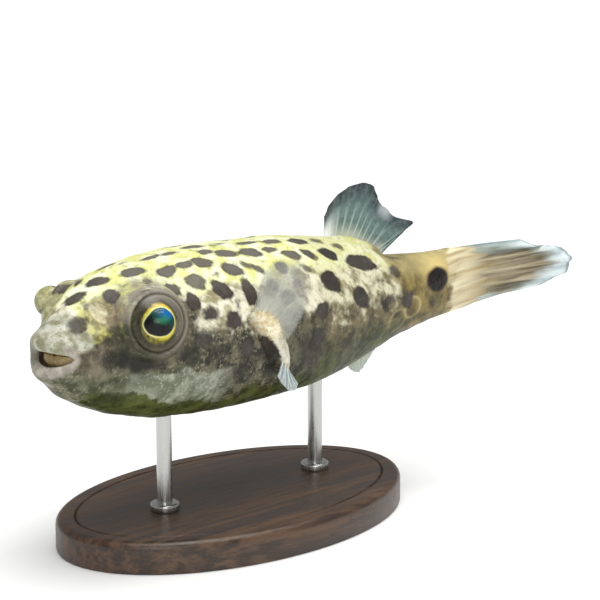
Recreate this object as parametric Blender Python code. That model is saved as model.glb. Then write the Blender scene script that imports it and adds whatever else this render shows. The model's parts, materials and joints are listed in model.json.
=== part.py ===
"""A spotted freshwater pufferfish at life size, on a small display stand.

The fish faces -Y with its left side towards +X and its back up.  Its body is one loft of
cross-sections set along a gently bent spine: head, trunk and tail stalk are lengths of that
loft, parted by thin cuts.  Lips, beak plates, eyes, nostril flaps and fins are pieces of
their own, and each keeps a narrow gap to what carries it.  The origin is the middle of the
stand's underside.  Units are metres; the tables below are in millimetres.
"""

import math

import bmesh
import bpy
import numpy as np
from mathutils import Matrix, Vector

MM = 0.001
GAP = 0.3 * MM  # clear space between pieces that touch

# ---------------------------------------------------------------- the spine
# Distances "back" run along the spine from the front of the lips.
SPINE_ORIGIN = 40.5  # this point of the spine stands over the middle of the stand
SPINE_HEIGHT = 35.0  # height of the spine over the floor
HEAD_BEND_START, HEAD_TURN = 37.0, 14.5  # ahead of here the spine curves to the fish's left
TAIL_BEND_START, TAIL_TURN = 48.4, 10.6  # and behind here too: degrees turned at each end
STANDARD_LENGTH = 88.0

# ---------------------------------------------------------------- the body's sections
# back, top, bottom, half width, sweep of the sides behind the middle, roundness exponent
BODY_SECTIONS = (
    (4.2, 4.7, -7.4, 6.0, 2.6, 2.0),
    (8.0, 7.3, -9.4, 7.4, 2.2, 2.05),
    (13.5, 9.2, -11.8, 9.4, 1.0, 2.2),
    (20.0, 10.2, -13.6, 10.9, 0.4, 2.2),
    (30.0, 10.8, -14.8, 12.1, 0.0, 2.2),
    (42.0, 10.5, -15.1, 12.0, 0.0, 2.2),
    (52.8, 9.8, -14.8, 10.8, 0.0, 2.2),
    (63.4, 7.8, -12.9, 8.3, 0.0, 2.2),
    (73.9, 4.1, -9.5, 5.5, 0.0, 2.2),
    (81.8, 3.7, -7.9, 3.7, 0.0, 2.2),
    (86.0, 4.0, -7.7, 2.7, 0.0, 2.2),
    (89.0, 3.8, -7.3, 1.5, 0.0, 2.2),
    (90.0, 3.3, -6.8, 0.8, 0.0, 2.2),
)
# The front face behind the lips and the pocket in it that holds the beak, deepest first.
MOUTH_POCKET = (
    (6.6, 0.6, -2.2, 2.4, 0.8, 2.4),
    (5.8, 1.3, -2.9, 3.3, 1.4, 2.8),
    (2.6, 1.5, -3.1, 3.8, 2.6, 2.8),
    (2.5, 2.9, -4.7, 5.2, 2.9, 2.1),
)
# The lips' own section, from the groove behind them round the front to the gape and back.
LIP_SECTIONS = (
    (2.2, 2.8, -4.6, 5.2, 2.9, 2.2),
    (1.1, 2.7, -4.5, 5.2, 3.0, 2.2),
    (0.3, 2.2, -3.9, 5.0, 3.0, 2.1),
    (0.0, 1.4, -3.1, 4.6, 3.0, 2.0),
    (0.2, 0.6, -2.3, 4.2, 2.9, 1.8),
    (0.8, 0.2, -1.9, 3.9, 2.8, 1.7),
    (1.3, 0.5, -2.2, 3.8, 2.6, 1.9),
)

HEAD_END, STALK_START = 33.0, 73.0  # the thin cuts behind the gills and behind the fins
SIDES = 38  # corners of a cross-section
HEAD_STEP, TRUNK_STEP = 1.6, 4.0  # about how far apart the loft's sections are

# ---------------------------------------------------------------- eyes
EYE_BACK = 14.1  # middle of the eye's opening in the skin
EYE_FORWARD = 21.0  # degrees the opening faces ahead of straight out
EYE_OPENING = 4.25  # radius of the opening
EYE_RADIUS, EYE_DEPTH, EYE_SUNK = 4.75, 3.2, 1.5  # the ball is flatter than a sphere
# The eyes sit, turn and stand out apart from each other, as a pufferfish's do.  Each opening:
# how far out from the spine, how far over it and the degrees it faces up.
LEFT_OPENING, RIGHT_OPENING = (10.5, 3.4, 10.0), (10.3, 2.1, 14.0)
# A clear dome on each ball: its radius, how far it stands off the ball's middle, degrees up.
LEFT_DOME, RIGHT_DOME = (3.1, 1.0, 10.0), (2.3, 3.2, 38.0)
ORBIT_RIM, ORBIT_LIP = 4.8, 0.15  # radius of the raised rim of flesh round the eye, its height
ORBIT_RAISED, ORBIT_PRESSED = 6.2, 8.4  # where raised and pressed-in flesh meets the head
ORBIT_DROP = 1.4  # how far the mound falls from its rim to its foot

# ---------------------------------------------------------------- fleshy fin roots
# back, out, height, then half length, half width, half height of each lobe
DORSAL_LOBE, DORSAL_SLOPE = (65.4, 0.0, 5.9, 6.8, 1.9, 2.1), -15.0
ANAL_LOBE, ANAL_SLOPE = (67.8, 0.0, -10.4, 4.8, 1.5, 1.9), 17.0
# The pectoral root is an arm down the flank: back, out, height, half thickness, half breadth.
PECTORAL_ARM = (
    (34.2, 10.4, 4.6, 1.0, 0.8),
    (34.8, 11.3, 3.2, 1.5, 1.5),
    (36.2, 11.8, 0.8, 1.6, 1.7),
    (38.2, 12.2, -1.8, 1.6, 1.6),
    (39.8, 12.5, -4.2, 1.5, 1.3),
    (40.8, 12.6, -6.4, 1.3, 1.1),
    (41.2, 12.4, -7.8, 0.8, 0.8),
)

# ---------------------------------------------------------------- fins
FIN_THICKNESS, RAY_THICKNESS = 0.55, 0.85
# Points of the fins in the body's middle plane are (back, height).
DORSAL_ROOT = ((60.4, 7.6), (70.9, 4.4))
DORSAL_TIPS = (
    (60.5, 11.6), (61.4, 13.4), (63.1, 14.7), (65.2, 15.8), (67.7, 16.4), (70.2, 15.6),
    (71.0, 13.5), (72.1, 11.3), (73.7, 10.1), (75.6, 9.5), (78.0, 9.8), (74.4, 6.9),
)
ANAL_ROOT = ((64.6, -11.4), (71.0, -9.0))
ANAL_TIPS = ((65.2, -13.9), (66.2, -14.8), (67.4, -15.1), (68.7, -14.0), (70.0, -12.6), (71.4, -10.9))
CAUDAL_ROOT = ((88.4, 3.4), (88.4, -6.9))
CAUDAL_TIPS = (
    (101.2, 3.7), (104.2, 2.6), (106.6, 1.9), (109.2, 1.3), (111.0, 0.4), (111.7, -0.9),
    (111.5, -2.0), (110.0, -2.9), (108.0, -3.9), (104.8, -4.6), (101.2, -4.9),
)
CAUDAL_PLEAT = 0.45  # the closed tail fin is pleated by this much to either side

# Pectoral rays from the top of the fin to its foot: how far down the arm each starts, then
# its tip's place back, out and up.  The left fin is raised, the right one lies back.
PECTORAL_ROOTS = (0.10, 0.16, 0.24, 0.34, 0.45, 0.56, 0.67, 0.78, 0.88, 0.94)
LEFT_TIPS = (
    (32.3, 14.6, 6.2), (33.4, 15.0, 9.0), (37.0, 15.2, 9.9), (40.8, 15.0, 8.9),
    (43.0, 14.8, 5.8), (43.0, 14.8, 2.4), (39.6, 16.0, -0.6), (38.0, 16.6, -4.2),
    (41.4, 14.2, -10.2), (38.8, 13.4, -9.2),
)
RIGHT_TIPS = (
    (36.4, 14.0, 6.0), (39.6, 14.8, 6.6), (42.6, 15.6, 5.8), (45.0, 16.4, 4.0),
    (46.4, 16.8, 1.6), (46.6, 16.8, -1.4), (45.8, 16.6, -4.4), (44.2, 16.0, -7.4),
    (42.2, 14.6, -9.8), (39.8, 13.4, -9.6),
)
RAY_BOW = 0.06  # pectoral rays bow by this share of their length

# ---------------------------------------------------------------- beak and nostrils
BEAK_MIDDLE, BEAK_RADIUS, BEAK_THICKNESS, BEAK_SWING = 5.0, 3.2, 0.75, 52.0
UPPER_BEAK, LOWER_BEAK = (1.0, -0.30), (-2.6, -0.65)  # root and cutting edge heights
NOSTRIL_BACK, NOSTRIL_ANGLE = 8.4, 52.0
NOSTRIL_FLAPS = ((-0.55, 0.75, 1.3), (0.60, 0.65, 1.0))  # along, half width, half height

# ---------------------------------------------------------------- stand
BASE_LENGTH, BASE_WIDTH, BASE_HEIGHT, BASE_EDGE = 64.0, 40.0, 5.0, 1.2
ROD_BACKS, ROD_RADIUS, ROD_IN_BODY, ROD_IN_BASE = (26.0, 58.0), 1.2, 3.0, 2.0
ROD_SIDES = 16

SKIN_BACK = (0.62, 0.60, 0.22, 1.0)
SKIN_FLANK = (0.55, 0.49, 0.33, 1.0)
SKIN_STALK = (0.48, 0.38, 0.20, 1.0)
LIP_PINK = (0.55, 0.46, 0.40, 1.0)
TOOTH_TAN = (0.45, 0.33, 0.15, 1.0)
EYE_YELLOW = (0.75, 0.62, 0.10, 1.0)
FIN_GREY = (0.36, 0.45, 0.44, 1.0)
FIN_BROWN = (0.42, 0.33, 0.20, 1.0)
STAND_WOOD = (0.055, 0.036, 0.024, 1.0)
ROD_STEEL = (0.62, 0.62, 0.60, 1.0)


# ================================================================ small helpers
def material(name, colour, roughness, metallic=0.0):
    made = bpy.data.materials.new(name)
    made.use_nodes = True
    shader = made.node_tree.nodes["Principled BSDF"]
    shader.inputs["Base Color"].default_value = colour
    shader.inputs["Roughness"].default_value = roughness
    shader.inputs["Metallic"].default_value = metallic
    made.diffuse_color = colour
    return made


def new_object(name, points, faces, finish=None):
    """An object from points in millimetres, with its faces turned outwards."""
    mesh = bpy.data.meshes.new(name)
    mesh.from_pydata([tuple(point) for point in np.asarray(points) * MM], [], faces)
    shell = bmesh.new()
    shell.from_mesh(mesh)
    bmesh.ops.recalc_face_normals(shell, faces=shell.faces)
    shell.to_mesh(mesh)
    shell.free()
    if finish is not None:
        mesh.materials.append(finish)
    mesh.shade_smooth()
    mesh.set_sharp_from_angle(angle=math.radians(50))
    made = bpy.data.objects.new(name, mesh)
    bpy.context.collection.objects.link(made)
    return made


def combine(target, other, operation, folded=False):
    """Cuts the helper object out of the target, or joins it on; a fin's web may be folded."""
    other.hide_render = True
    other.display_type = "WIRE"
    boolean = target.modifiers.new(f"{operation.lower()} {other.name}", "BOOLEAN")
    boolean.operation = operation
    boolean.solver = "EXACT"
    boolean.use_self = folded
    boolean.object = other


def smooth_through(places, rows, at):
    """Columns of rows, given at rising places, read at others without overshoot."""
    places, rows, at = (np.asarray(part, float) for part in (places, rows, at))
    rows = rows.reshape(len(places), -1)
    steps = np.diff(places)[:, None]
    slopes = np.diff(rows, axis=0) / steps
    before, after = slopes[:-1], slopes[1:]
    same_way = before * after > 0
    blend = np.where(same_way, before * after, 0.0) * 3 * (steps[:-1] + steps[1:])
    near = (2 * steps[1:] + steps[:-1]) * after + (steps[1:] + 2 * steps[:-1]) * before
    inner = blend / np.where(same_way, near, 1.0)
    tangents = np.vstack([slopes[:1], inner, slopes[-1:]])
    left = np.clip(np.searchsorted(places, at, side="right") - 1, 0, len(places) - 2)
    width = steps[left]
    t = ((at - places[left]) / width[:, 0])[:, None]
    start = (1 + 2 * t) * (1 - t) ** 2 * rows[left] + t * (1 - t) ** 2 * width * tangents[left]
    end = t * t * (3 - 2 * t) * rows[left + 1] + t * t * (t - 1) * width * tangents[left + 1]
    return start + end


# ================================================================ the bent spine
def spine_heading(back):
    """How far the spine has turned towards +X at this distance, in radians."""
    ahead = np.maximum(HEAD_BEND_START - back, 0) / HEAD_BEND_START
    behind = np.maximum(back - TAIL_BEND_START, 0) / (STANDARD_LENGTH - TAIL_BEND_START)
    return np.radians(behind * TAIL_TURN - ahead * HEAD_TURN)


def spine_point(back):
    """The spine's x and y: a straight length between two arcs."""
    heading = spine_heading(back)
    head_radius = HEAD_BEND_START / math.radians(HEAD_TURN)
    tail_radius = (STANDARD_LENGTH - TAIL_BEND_START) / math.radians(TAIL_TURN)
    ahead, behind = back < HEAD_BEND_START, back > TAIL_BEND_START
    straight = np.clip(back, HEAD_BEND_START, TAIL_BEND_START) - SPINE_ORIGIN
    radius = np.where(ahead, head_radius, np.where(behind, tail_radius, 0.0))
    return radius * (1 - np.cos(heading)), straight + radius * np.sin(heading)


def in_space(back, out, height):
    """Millimetres in the part's frame of a place given along, left of and over the spine."""
    back, out, height = np.broadcast_arrays(*(np.asarray(v, float) for v in (back, out, height)))
    heading = spine_heading(back)
    x, y = spine_point(back)
    spot = (x + out * np.cos(heading), y - out * np.sin(heading), height + SPINE_HEIGHT)
    return np.stack(spot, axis=-1)


def directions(back):
    """Unit vectors at a point of the spine: out to the fish's left, back and up."""
    heading = float(spine_heading(np.float64(back)))
    out = Vector((math.cos(heading), -math.sin(heading), 0.0))
    return out, Vector((math.sin(heading), math.cos(heading), 0.0)), Vector((0.0, 0.0, 1.0))


# ================================================================ eyes and the flesh round them
def eye_look(side, up_turn):
    """The direction a number of degrees up from level on one side; side is 1 or -1."""
    out, back, up = directions(EYE_BACK)
    forward, raised = math.radians(EYE_FORWARD), math.radians(up_turn)
    flat = out * side * math.cos(forward) - back * math.sin(forward)
    return flat * math.cos(raised) + up * math.sin(raised)


def eye_frame(side):
    """Middle of the eye's opening in millimetres and the way the opening faces."""
    out, height, up_turn = LEFT_OPENING if side > 0 else RIGHT_OPENING
    return Vector(in_space(EYE_BACK, out * side, height)), eye_look(side, up_turn)


def ease(low, high, value):
    """0 below the first value, 1 over the second and an S-curve between them."""
    share = np.clip((value - low) / (high - low), 0, 1)
    return share * share * (3 - 2 * share)


def with_orbits(points):
    """The same points, drawn to a low mound round each eye that is level with its rim."""
    moved = points.copy()
    for side in (1, -1):
        middle, look = (np.array(part) for part in eye_frame(side))
        away = points - middle
        along = away @ look
        beside = np.linalg.norm(away - along[..., None] * look, axis=-1)
        rim = ORBIT_LIP - ORBIT_DROP * ease(ORBIT_RIM, ORBIT_PRESSED, beside)
        foot = np.where(rim > along, ORBIT_RAISED, ORBIT_PRESSED)
        pull = (1 - ease(ORBIT_RIM, foot, beside)) * (along > -9.0)
        moved += (pull * (rim - along))[..., None] * look
    return moved


# ================================================================ the body's loft
def section(row, grow=0.0, turn=None):
    """One cross-section: a rounded ring whose sides sweep back behind its middle."""
    back, top, bottom, half_width, sweep, exponent = row
    if turn is None:
        turn = np.arange(SIDES) * (2 * math.pi / SIDES)
    across = np.sign(np.cos(turn)) * np.abs(np.cos(turn)) ** (2 / exponent)
    over = np.sign(np.sin(turn)) * np.abs(np.sin(turn)) ** (2 / exponent)
    middle, half_height = (top + bottom) / 2, (top - bottom) / 2 + grow
    behind = back + sweep * across**2
    return in_space(behind, across * (half_width + grow), middle + over * half_height)


def body_rows(start, end, step):
    """Section rows from one distance to another, read from the table about a step apart."""
    table = np.array(BODY_SECTIONS)
    stops = [start, *(row[0] for row in BODY_SECTIONS if start < row[0] < end), end]
    backs = [start]
    for low, high in zip(stops[:-1], stops[1:]):
        count = max(1, round((high - low) / step))
        backs.extend(low + (high - low) * (n + 1) / count for n in range(count))
    values = smooth_through(table[:, 0], table[:, 1:], backs)
    return [(back, *columns) for back, columns in zip(backs, values)]


def loft(name, rings, finish=None):
    """A closed solid through rings of equal length, its two ends filled."""
    count = len(rings[0])
    points = np.concatenate(rings)
    faces = []
    for ring in range(len(rings) - 1):
        for n in range(count):
            here, there = ring * count + n, ring * count + (n + 1) % count
            faces.append((here, there, there + count, here + count))
    ends = []
    for ring, way in ((0, -1), (len(rings) - 1, 1)):
        ends.append(rings[ring].mean(axis=0))
        centre = len(points) + len(ends) - 1
        for n in range(count):
            pair = (ring * count + n, ring * count + (n + 1) % count)
            faces.append((centre, *pair[::way]))
    return new_object(name, np.vstack([points, *ends]), faces, finish)


def make_head(skin):
    rows = body_rows(BODY_SECTIONS[0][0], HEAD_END - GAP / MM / 2, HEAD_STEP)
    rings = [section(row) for row in MOUTH_POCKET]
    rings += [with_orbits(section(row)) for row in rows]
    return loft("head", rings, skin)


def make_trunk(skin):
    rows = body_rows(HEAD_END + GAP / MM / 2, STALK_START - GAP / MM / 2, TRUNK_STEP)
    return loft("trunk", [section(row) for row in rows], skin)


def make_stalk(skin):
    rows = body_rows(STALK_START + GAP / MM / 2, BODY_SECTIONS[-1][0], TRUNK_STEP)
    return loft("tail_stalk", [section(row) for row in rows], skin)


def grown_body(name, start, end):
    """A helper a gap larger than the body all round, to cut what grows from it."""
    rows = body_rows(start, end, TRUNK_STEP)
    return loft(name, [section(row, grow=GAP / MM) for row in rows])


# ================================================================ lips, beak, nostril flaps
def make_lip(name, upper, finish):
    """One lip: the lips' section swept round one half of the mouth, from corner to corner."""
    corner = math.asin(0.22)
    way = 1 if upper else -1
    turn = way * np.linspace(corner, math.pi - corner, 19)
    return loft(name, lip_rings(turn), finish)


def lip_rings(turn, grow=0.0):
    """The lip's section at each place round the mouth, as rings along the lip."""
    paths = [section(row, grow=grow, turn=turn) for row in LIP_SECTIONS]
    return [np.stack([path[n] for path in paths]) for n in range(len(turn))]


def make_beak(name, root, edge, finish):
    """A tooth plate: an upright curved wall that thins to its cutting edge."""
    rings = []
    for swing in np.radians(np.linspace(-BEAK_SWING, BEAK_SWING, 11)):
        corners = []
        for height, thickness in ((root, BEAK_THICKNESS), (edge, BEAK_THICKNESS * 0.55)):
            for outer in (0.0, thickness):
                reach = BEAK_RADIUS - outer
                corners.append((BEAK_MIDDLE - reach * math.cos(swing), reach * math.sin(swing), height))
        order = (0, 1, 3, 2)
        rings.append(in_space(*np.array([corners[n] for n in order]).T))
    return loft(name, rings, finish)


def surface_place(back, angle):
    """A point on the body's side at an angle over the level, and the way it faces."""
    low, high = BODY_SECTIONS[0][0], BODY_SECTIONS[-1][0]
    table = np.array(BODY_SECTIONS)
    near = []
    for distance in (back - 0.5, back, back + 0.5):
        values = smooth_through(table[:, 0], table[:, 1:], [np.clip(distance, low, high)])[0]
        turn = np.radians([angle - 2.0, angle, angle + 2.0])
        near.append(with_orbits(section((distance, *values), turn=turn)))
    middle = Vector(near[1][1])
    along = Vector(near[2][1] - near[0][1])
    around = Vector(near[1][2] - near[1][0])
    facing = around.cross(along).normalized()
    return middle, facing, along.normalized()


def nostril(name, side):
    """A forked skin flap: two small rounded lobes that share a foot."""
    angle = NOSTRIL_ANGLE if side > 0 else 180 - NOSTRIL_ANGLE
    middle, facing, along = surface_place(NOSTRIL_BACK, angle)
    if facing.x * side < 0:
        facing.negate()
    across = facing.cross(along).normalized()
    turn = Matrix((along, across, facing)).transposed().to_4x4()
    flaps = []
    for number, (shift, half_width, half_height) in enumerate(NOSTRIL_FLAPS):
        place = middle + along * shift + facing * half_height * 0.4
        sizes = Matrix.Diagonal((half_width, 1.0, half_height, 1.0))
        flaps.append(ball(f"{name}_{number}", Matrix.Translation(place) @ turn @ sizes, 12, 8))
    combine(flaps[0], flaps[1], "UNION")
    return flaps[0]


def ball(name, placed, segments, rings, finish=None):
    """A unit sphere under a matrix that gives its place, turn and half sizes in millimetres."""
    shell = bmesh.new()
    bmesh.ops.create_uvsphere(shell, u_segments=segments, v_segments=rings, radius=1.0)
    bmesh.ops.transform(shell, matrix=placed, verts=shell.verts)
    points = [tuple(vertex.co) for vertex in shell.verts]
    faces = [tuple(vertex.index for vertex in face.verts) for face in shell.faces]
    shell.free()
    return new_object(name, points, faces, finish)


def eyeball(name, side, finish=None, grow=0.0):
    """A flattened ball with a clear dome on it, turned the way that eye gazes."""
    middle, look = eye_frame(side)
    centre = middle - look * EYE_SUNK
    turn = look.to_track_quat("Z", "Y").to_matrix().to_4x4()
    radius = EYE_RADIUS + grow
    sizes = Matrix.Diagonal((radius, radius, EYE_DEPTH + grow, 1.0))
    eye = ball(name, Matrix.Translation(centre) @ turn @ sizes, 18, 9, finish)
    dome_radius, offset, gaze_up = LEFT_DOME if side > 0 else RIGHT_DOME
    gaze = eye_look(side, gaze_up)
    turn = gaze.to_track_quat("Z", "Y").to_matrix().to_4x4()
    placed = Matrix.Translation(centre + gaze * offset) @ turn @ Matrix.Scale(dome_radius + grow, 4)
    combine(eye, ball(f"{name}_dome", placed, 16, 9), "UNION")
    return eye


def eye_well(name, side):
    """A short round column over the eye that clears the flesh from its opening."""
    middle, look = eye_frame(side)
    turn = look.to_track_quat("Z", "Y").to_matrix()
    angles = np.arange(30) * (2 * math.pi / 30)
    ring = np.stack([np.cos(angles), np.sin(angles), 0 * angles], axis=-1) * EYE_OPENING
    ring = ring @ np.array(turn).T + np.array(middle)
    return loft(name, [ring - np.array(look) * 1.2, ring + np.array(look) * 4.0])


# ================================================================ fins
def lobe(name, values, slope, grow=0.0):
    """A fleshy fin root: a half-sunk rounded lump on the body's middle line."""
    back, out, height, half_length, half_width, half_height = values
    outward, backward, up = directions(back)
    turn = Matrix((outward, backward, up)).transposed().to_4x4()
    tilt = Matrix.Rotation(math.radians(slope), 4, "X")
    sizes = Matrix.Diagonal((half_width + grow, half_length + grow, half_height + grow, 1.0))
    middle = Matrix.Translation(Vector(in_space(back, out, height)))
    return ball(name, middle @ turn @ tilt @ sizes, 16, 10)


def arm(name, side, grow=0.0):
    """The pectoral root: a thick curved ridge down the flank, through oval rings."""
    table = np.array(PECTORAL_ARM)
    places = np.linspace(0, len(table) - 1, 13)
    values = smooth_through(np.arange(len(table)), table, places)
    line = in_space(values[:, 0], values[:, 1] * side, values[:, 2])
    ahead = np.gradient(line, axis=0)
    turn = np.arange(12) * (2 * math.pi / 12)
    rings = []
    for centre, tangent, row in zip(line, ahead, values):
        outward = np.array(directions(row[0])[0]) * side
        across = np.cross(tangent, outward)
        across /= np.linalg.norm(across)
        outward = np.cross(across, tangent)
        outward /= np.linalg.norm(outward)
        thick = (row[3] + grow) * np.cos(turn)[:, None] * outward
        rings.append(centre + thick + (row[4] + grow) * np.sin(turn)[:, None] * across)
    if grow:
        way = ahead / np.linalg.norm(ahead, axis=1)[:, None]
        rings[0] = rings[0] - way[0] * grow
        rings[-1] = rings[-1] + way[-1] * grow
    return loft(name, rings)


def fin_solid(name, rays, rows, finish):
    """A fan of rays with thinner web between them, from each ray's root and tip paths."""
    rays = np.asarray(rays)
    places = np.arange(len(rays))
    between = np.linspace(0, len(rays) - 1, 2 * len(rays) - 1)
    columns = smooth_through(places, rays.reshape(len(rays), -1), between)
    columns = columns.reshape(len(between), rows, 3)
    points = columns.reshape(-1, 3)
    faces = []
    for column in range(len(between) - 1):
        for row in range(rows - 1):
            here = column * rows + row
            faces.append((here, here + rows, here + rows + 1, here + 1))
    fin = new_object(name, points, faces, finish)
    weights = fin.vertex_groups.new(name="ray")
    for column in range(len(between)):
        on_ray = 1.0 if column % 2 == 0 else FIN_THICKNESS / RAY_THICKNESS
        weights.add(range(column * rows, (column + 1) * rows), on_ray, "REPLACE")
    wall = fin.modifiers.new("thickness", "SOLIDIFY")
    wall.thickness = RAY_THICKNESS * MM
    wall.offset = 0.0
    wall.vertex_group = weights.name
    return fin


def median_rays(root, tips, count, rows, pleat=0.0, lean=0.0):
    """Rays of a fin that stands in the body's middle plane."""
    share = np.linspace(0, 1, count)[:, None]
    starts = np.array(root[0]) * (1 - share) + np.array(root[1]) * share
    ends = smooth_through(np.linspace(0, 1, len(tips)), tips, share[:, 0])
    along = np.linspace(0, 1, rows)
    rays = []
    for number, (start, end) in enumerate(zip(starts, ends)):
        line = start + (end - start) * along[:, None]
        fold = pleat * (1 if number % 2 else -1) * along**0.6
        rays.append(in_space(line[:, 0], fold + lean * along**2, line[:, 1]))
    return rays


def pectoral_rays(side, tips, rows):
    """Rays that fan out of the arm on one flank, each bowed outwards a little."""
    table = np.array(PECTORAL_ARM)
    places = np.array(PECTORAL_ROOTS) * (len(table) - 1)
    roots = smooth_through(np.arange(len(table)), table, places)
    along = np.linspace(0, 1, rows)[:, None]
    rays = []
    for row, tip in zip(roots, tips):
        start = row[:3] + np.array([0.3, row[3] * 0.3, 0.0])
        reach = np.array(tip) - start
        bow = np.array([0.0, RAY_BOW * np.linalg.norm(reach), 0.0]) * 4 * along * (1 - along)
        line = start + reach * along + bow
        rays.append(in_space(line[:, 0], line[:, 1] * side, line[:, 2]))
    return rays


# ================================================================ stand
def make_base(finish):
    """An oval plate with a rounded upper edge."""
    corners = 34
    turn = np.arange(corners) * (2 * math.pi / corners)
    rings = []
    for inset, height in ((0.4, 0.0), (0.0, 0.4), (0.0, BASE_HEIGHT - BASE_EDGE),
                          (BASE_EDGE * 0.3, BASE_HEIGHT - BASE_EDGE * 0.3), (BASE_EDGE, BASE_HEIGHT)):
        x = (BASE_WIDTH / 2 - inset) * np.cos(turn)
        y = (BASE_LENGTH / 2 - inset) * np.sin(turn)
        rings.append(np.stack([x, y, np.full(corners, height)], axis=-1))
    return loft("stand_base", rings, finish)


def rod_solid(name, back, low, high, radius, finish=None):
    x, y, _ = in_space(back, 0.0, 0.0)
    turn = np.arange(ROD_SIDES) * (2 * math.pi / ROD_SIDES)
    rings = [
        np.stack([x + radius * np.cos(turn), y + radius * np.sin(turn), np.full(ROD_SIDES, height)], -1)
        for height in (low, high)
    ]
    return loft(name, rings, finish)


def belly_height(back):
    table = np.array(BODY_SECTIONS)
    return SPINE_HEIGHT + smooth_through(table[:, 0], table[:, 2:3], [back])[0, 0]


# ================================================================ the model
def main():
    for old in list(bpy.data.objects):
        bpy.data.objects.remove(old)
    gap = GAP / MM

    head = make_head(material("head skin", SKIN_BACK, 0.42))
    trunk = make_trunk(material("trunk skin", SKIN_FLANK, 0.42))
    stalk = make_stalk(material("stalk skin", SKIN_STALK, 0.42))
    trunk_cutter = grown_body("trunk_cutter", HEAD_END - 4, STALK_START + 6)
    stalk_cutter = grown_body("stalk_cutter", STALK_START, BODY_SECTIONS[-1][0])

    eye = material("eye", EYE_YELLOW, 0.08)
    for side, word in ((1, "left"), (-1, "right")):
        eyeball(f"eye_{word}", side, eye)
        socket = eyeball(f"socket_{word}", side, grow=gap)
        combine(socket, eye_well(f"well_{word}", side), "UNION")
        combine(head, socket, "DIFFERENCE")
        combine(head, nostril(f"nostril_{word}", side), "UNION")

    lip_pink = material("lip", LIP_PINK, 0.35)
    make_lip("lip_upper", True, lip_pink)
    make_lip("lip_lower", False, lip_pink)
    tooth = material("tooth", TOOTH_TAN, 0.3)
    make_beak("beak_upper", *UPPER_BEAK, tooth)
    make_beak("beak_lower", *LOWER_BEAK, tooth)

    fin_grey = material("fin web", FIN_GREY, 0.3)
    fin_brown = material("tail web", FIN_BROWN, 0.3)
    combine(trunk, lobe("dorsal_lobe", DORSAL_LOBE, DORSAL_SLOPE), "UNION")
    combine(trunk, lobe("anal_lobe", ANAL_LOBE, ANAL_SLOPE), "UNION")
    dorsal = fin_solid("fin_dorsal", median_rays(DORSAL_ROOT, DORSAL_TIPS, 12, 4), 4, fin_grey)
    anal = fin_solid("fin_anal", median_rays(ANAL_ROOT, ANAL_TIPS, 8, 4), 4, fin_grey)
    caudal = fin_solid("fin_caudal", median_rays(CAUDAL_ROOT, CAUDAL_TIPS, 11, 4, CAUDAL_PLEAT), 4, fin_brown)
    for fin, values, slope in ((dorsal, DORSAL_LOBE, DORSAL_SLOPE), (anal, ANAL_LOBE, ANAL_SLOPE)):
        combine(fin, trunk_cutter, "DIFFERENCE")
        combine(fin, lobe(f"{fin.name}_cutter", values, slope, gap), "DIFFERENCE")
    combine(caudal, stalk_cutter, "DIFFERENCE")
    for side, word, tips in ((1, "left", LEFT_TIPS), (-1, "right", RIGHT_TIPS)):
        combine(trunk, arm(f"pectoral_arm_{word}", side), "UNION")
        fin = fin_solid(f"fin_pectoral_{word}", pectoral_rays(side, tips, 5), 5, fin_grey)
        combine(fin, trunk_cutter, "DIFFERENCE", folded=True)
        combine(fin, arm(f"pectoral_cutter_{word}", side, gap), "DIFFERENCE", folded=True)

    base = make_base(material("stand wood", STAND_WOOD, 0.35))
    steel = material("rod steel", ROD_STEEL, 0.25, 1.0)
    for number, back in enumerate(ROD_BACKS, start=1):
        low, high = BASE_HEIGHT - ROD_IN_BASE, belly_height(back) + ROD_IN_BODY
        rod_solid(f"stand_rod_{number}", back, low, high, ROD_RADIUS, steel)
        carrier = head if back < HEAD_END else trunk
        hole = rod_solid(f"rod_hole_{number}", back, low + 6, high + gap, ROD_RADIUS + gap)
        combine(carrier, hole, "DIFFERENCE")
        socket = rod_solid(f"rod_socket_{number}", back, low - gap, BASE_HEIGHT + 1, ROD_RADIUS + gap)
        combine(base, socket, "DIFFERENCE")


main()
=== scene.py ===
"""A spotted freshwater pufferfish at life size, on a small display stand: the finished look.

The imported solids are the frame: the fish faces -Y, its left side is towards +X, its back is up,
and the origin is the middle of the stand's underside.  Tables are in millimetres.
"""

# %% [markdown]
# ## The frame
# The plain solids are loaded first, and every piece made below is laid over one of them.
# Their box is kept, because the dressed model may not grow out of it.

# %% Load the frame
import json
import math

import bpy
import numpy as np
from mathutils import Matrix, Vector

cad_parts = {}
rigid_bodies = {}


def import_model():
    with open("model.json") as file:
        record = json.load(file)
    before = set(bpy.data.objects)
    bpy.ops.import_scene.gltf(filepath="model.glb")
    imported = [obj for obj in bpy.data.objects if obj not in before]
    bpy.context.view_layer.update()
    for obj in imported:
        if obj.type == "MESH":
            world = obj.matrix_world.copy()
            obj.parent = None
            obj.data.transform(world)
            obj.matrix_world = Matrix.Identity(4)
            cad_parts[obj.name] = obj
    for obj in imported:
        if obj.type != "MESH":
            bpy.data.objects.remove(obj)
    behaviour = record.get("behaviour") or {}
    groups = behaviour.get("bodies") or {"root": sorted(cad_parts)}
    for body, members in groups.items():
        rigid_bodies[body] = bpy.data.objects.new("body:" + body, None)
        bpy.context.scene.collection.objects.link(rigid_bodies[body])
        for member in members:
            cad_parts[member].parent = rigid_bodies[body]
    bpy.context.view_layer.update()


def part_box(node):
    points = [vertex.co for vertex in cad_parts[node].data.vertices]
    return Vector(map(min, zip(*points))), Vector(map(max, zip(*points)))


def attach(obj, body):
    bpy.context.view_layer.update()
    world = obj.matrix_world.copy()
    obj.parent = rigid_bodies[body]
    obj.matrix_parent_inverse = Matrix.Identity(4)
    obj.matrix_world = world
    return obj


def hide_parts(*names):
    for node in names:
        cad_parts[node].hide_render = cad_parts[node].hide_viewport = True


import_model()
MM = 0.001

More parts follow.
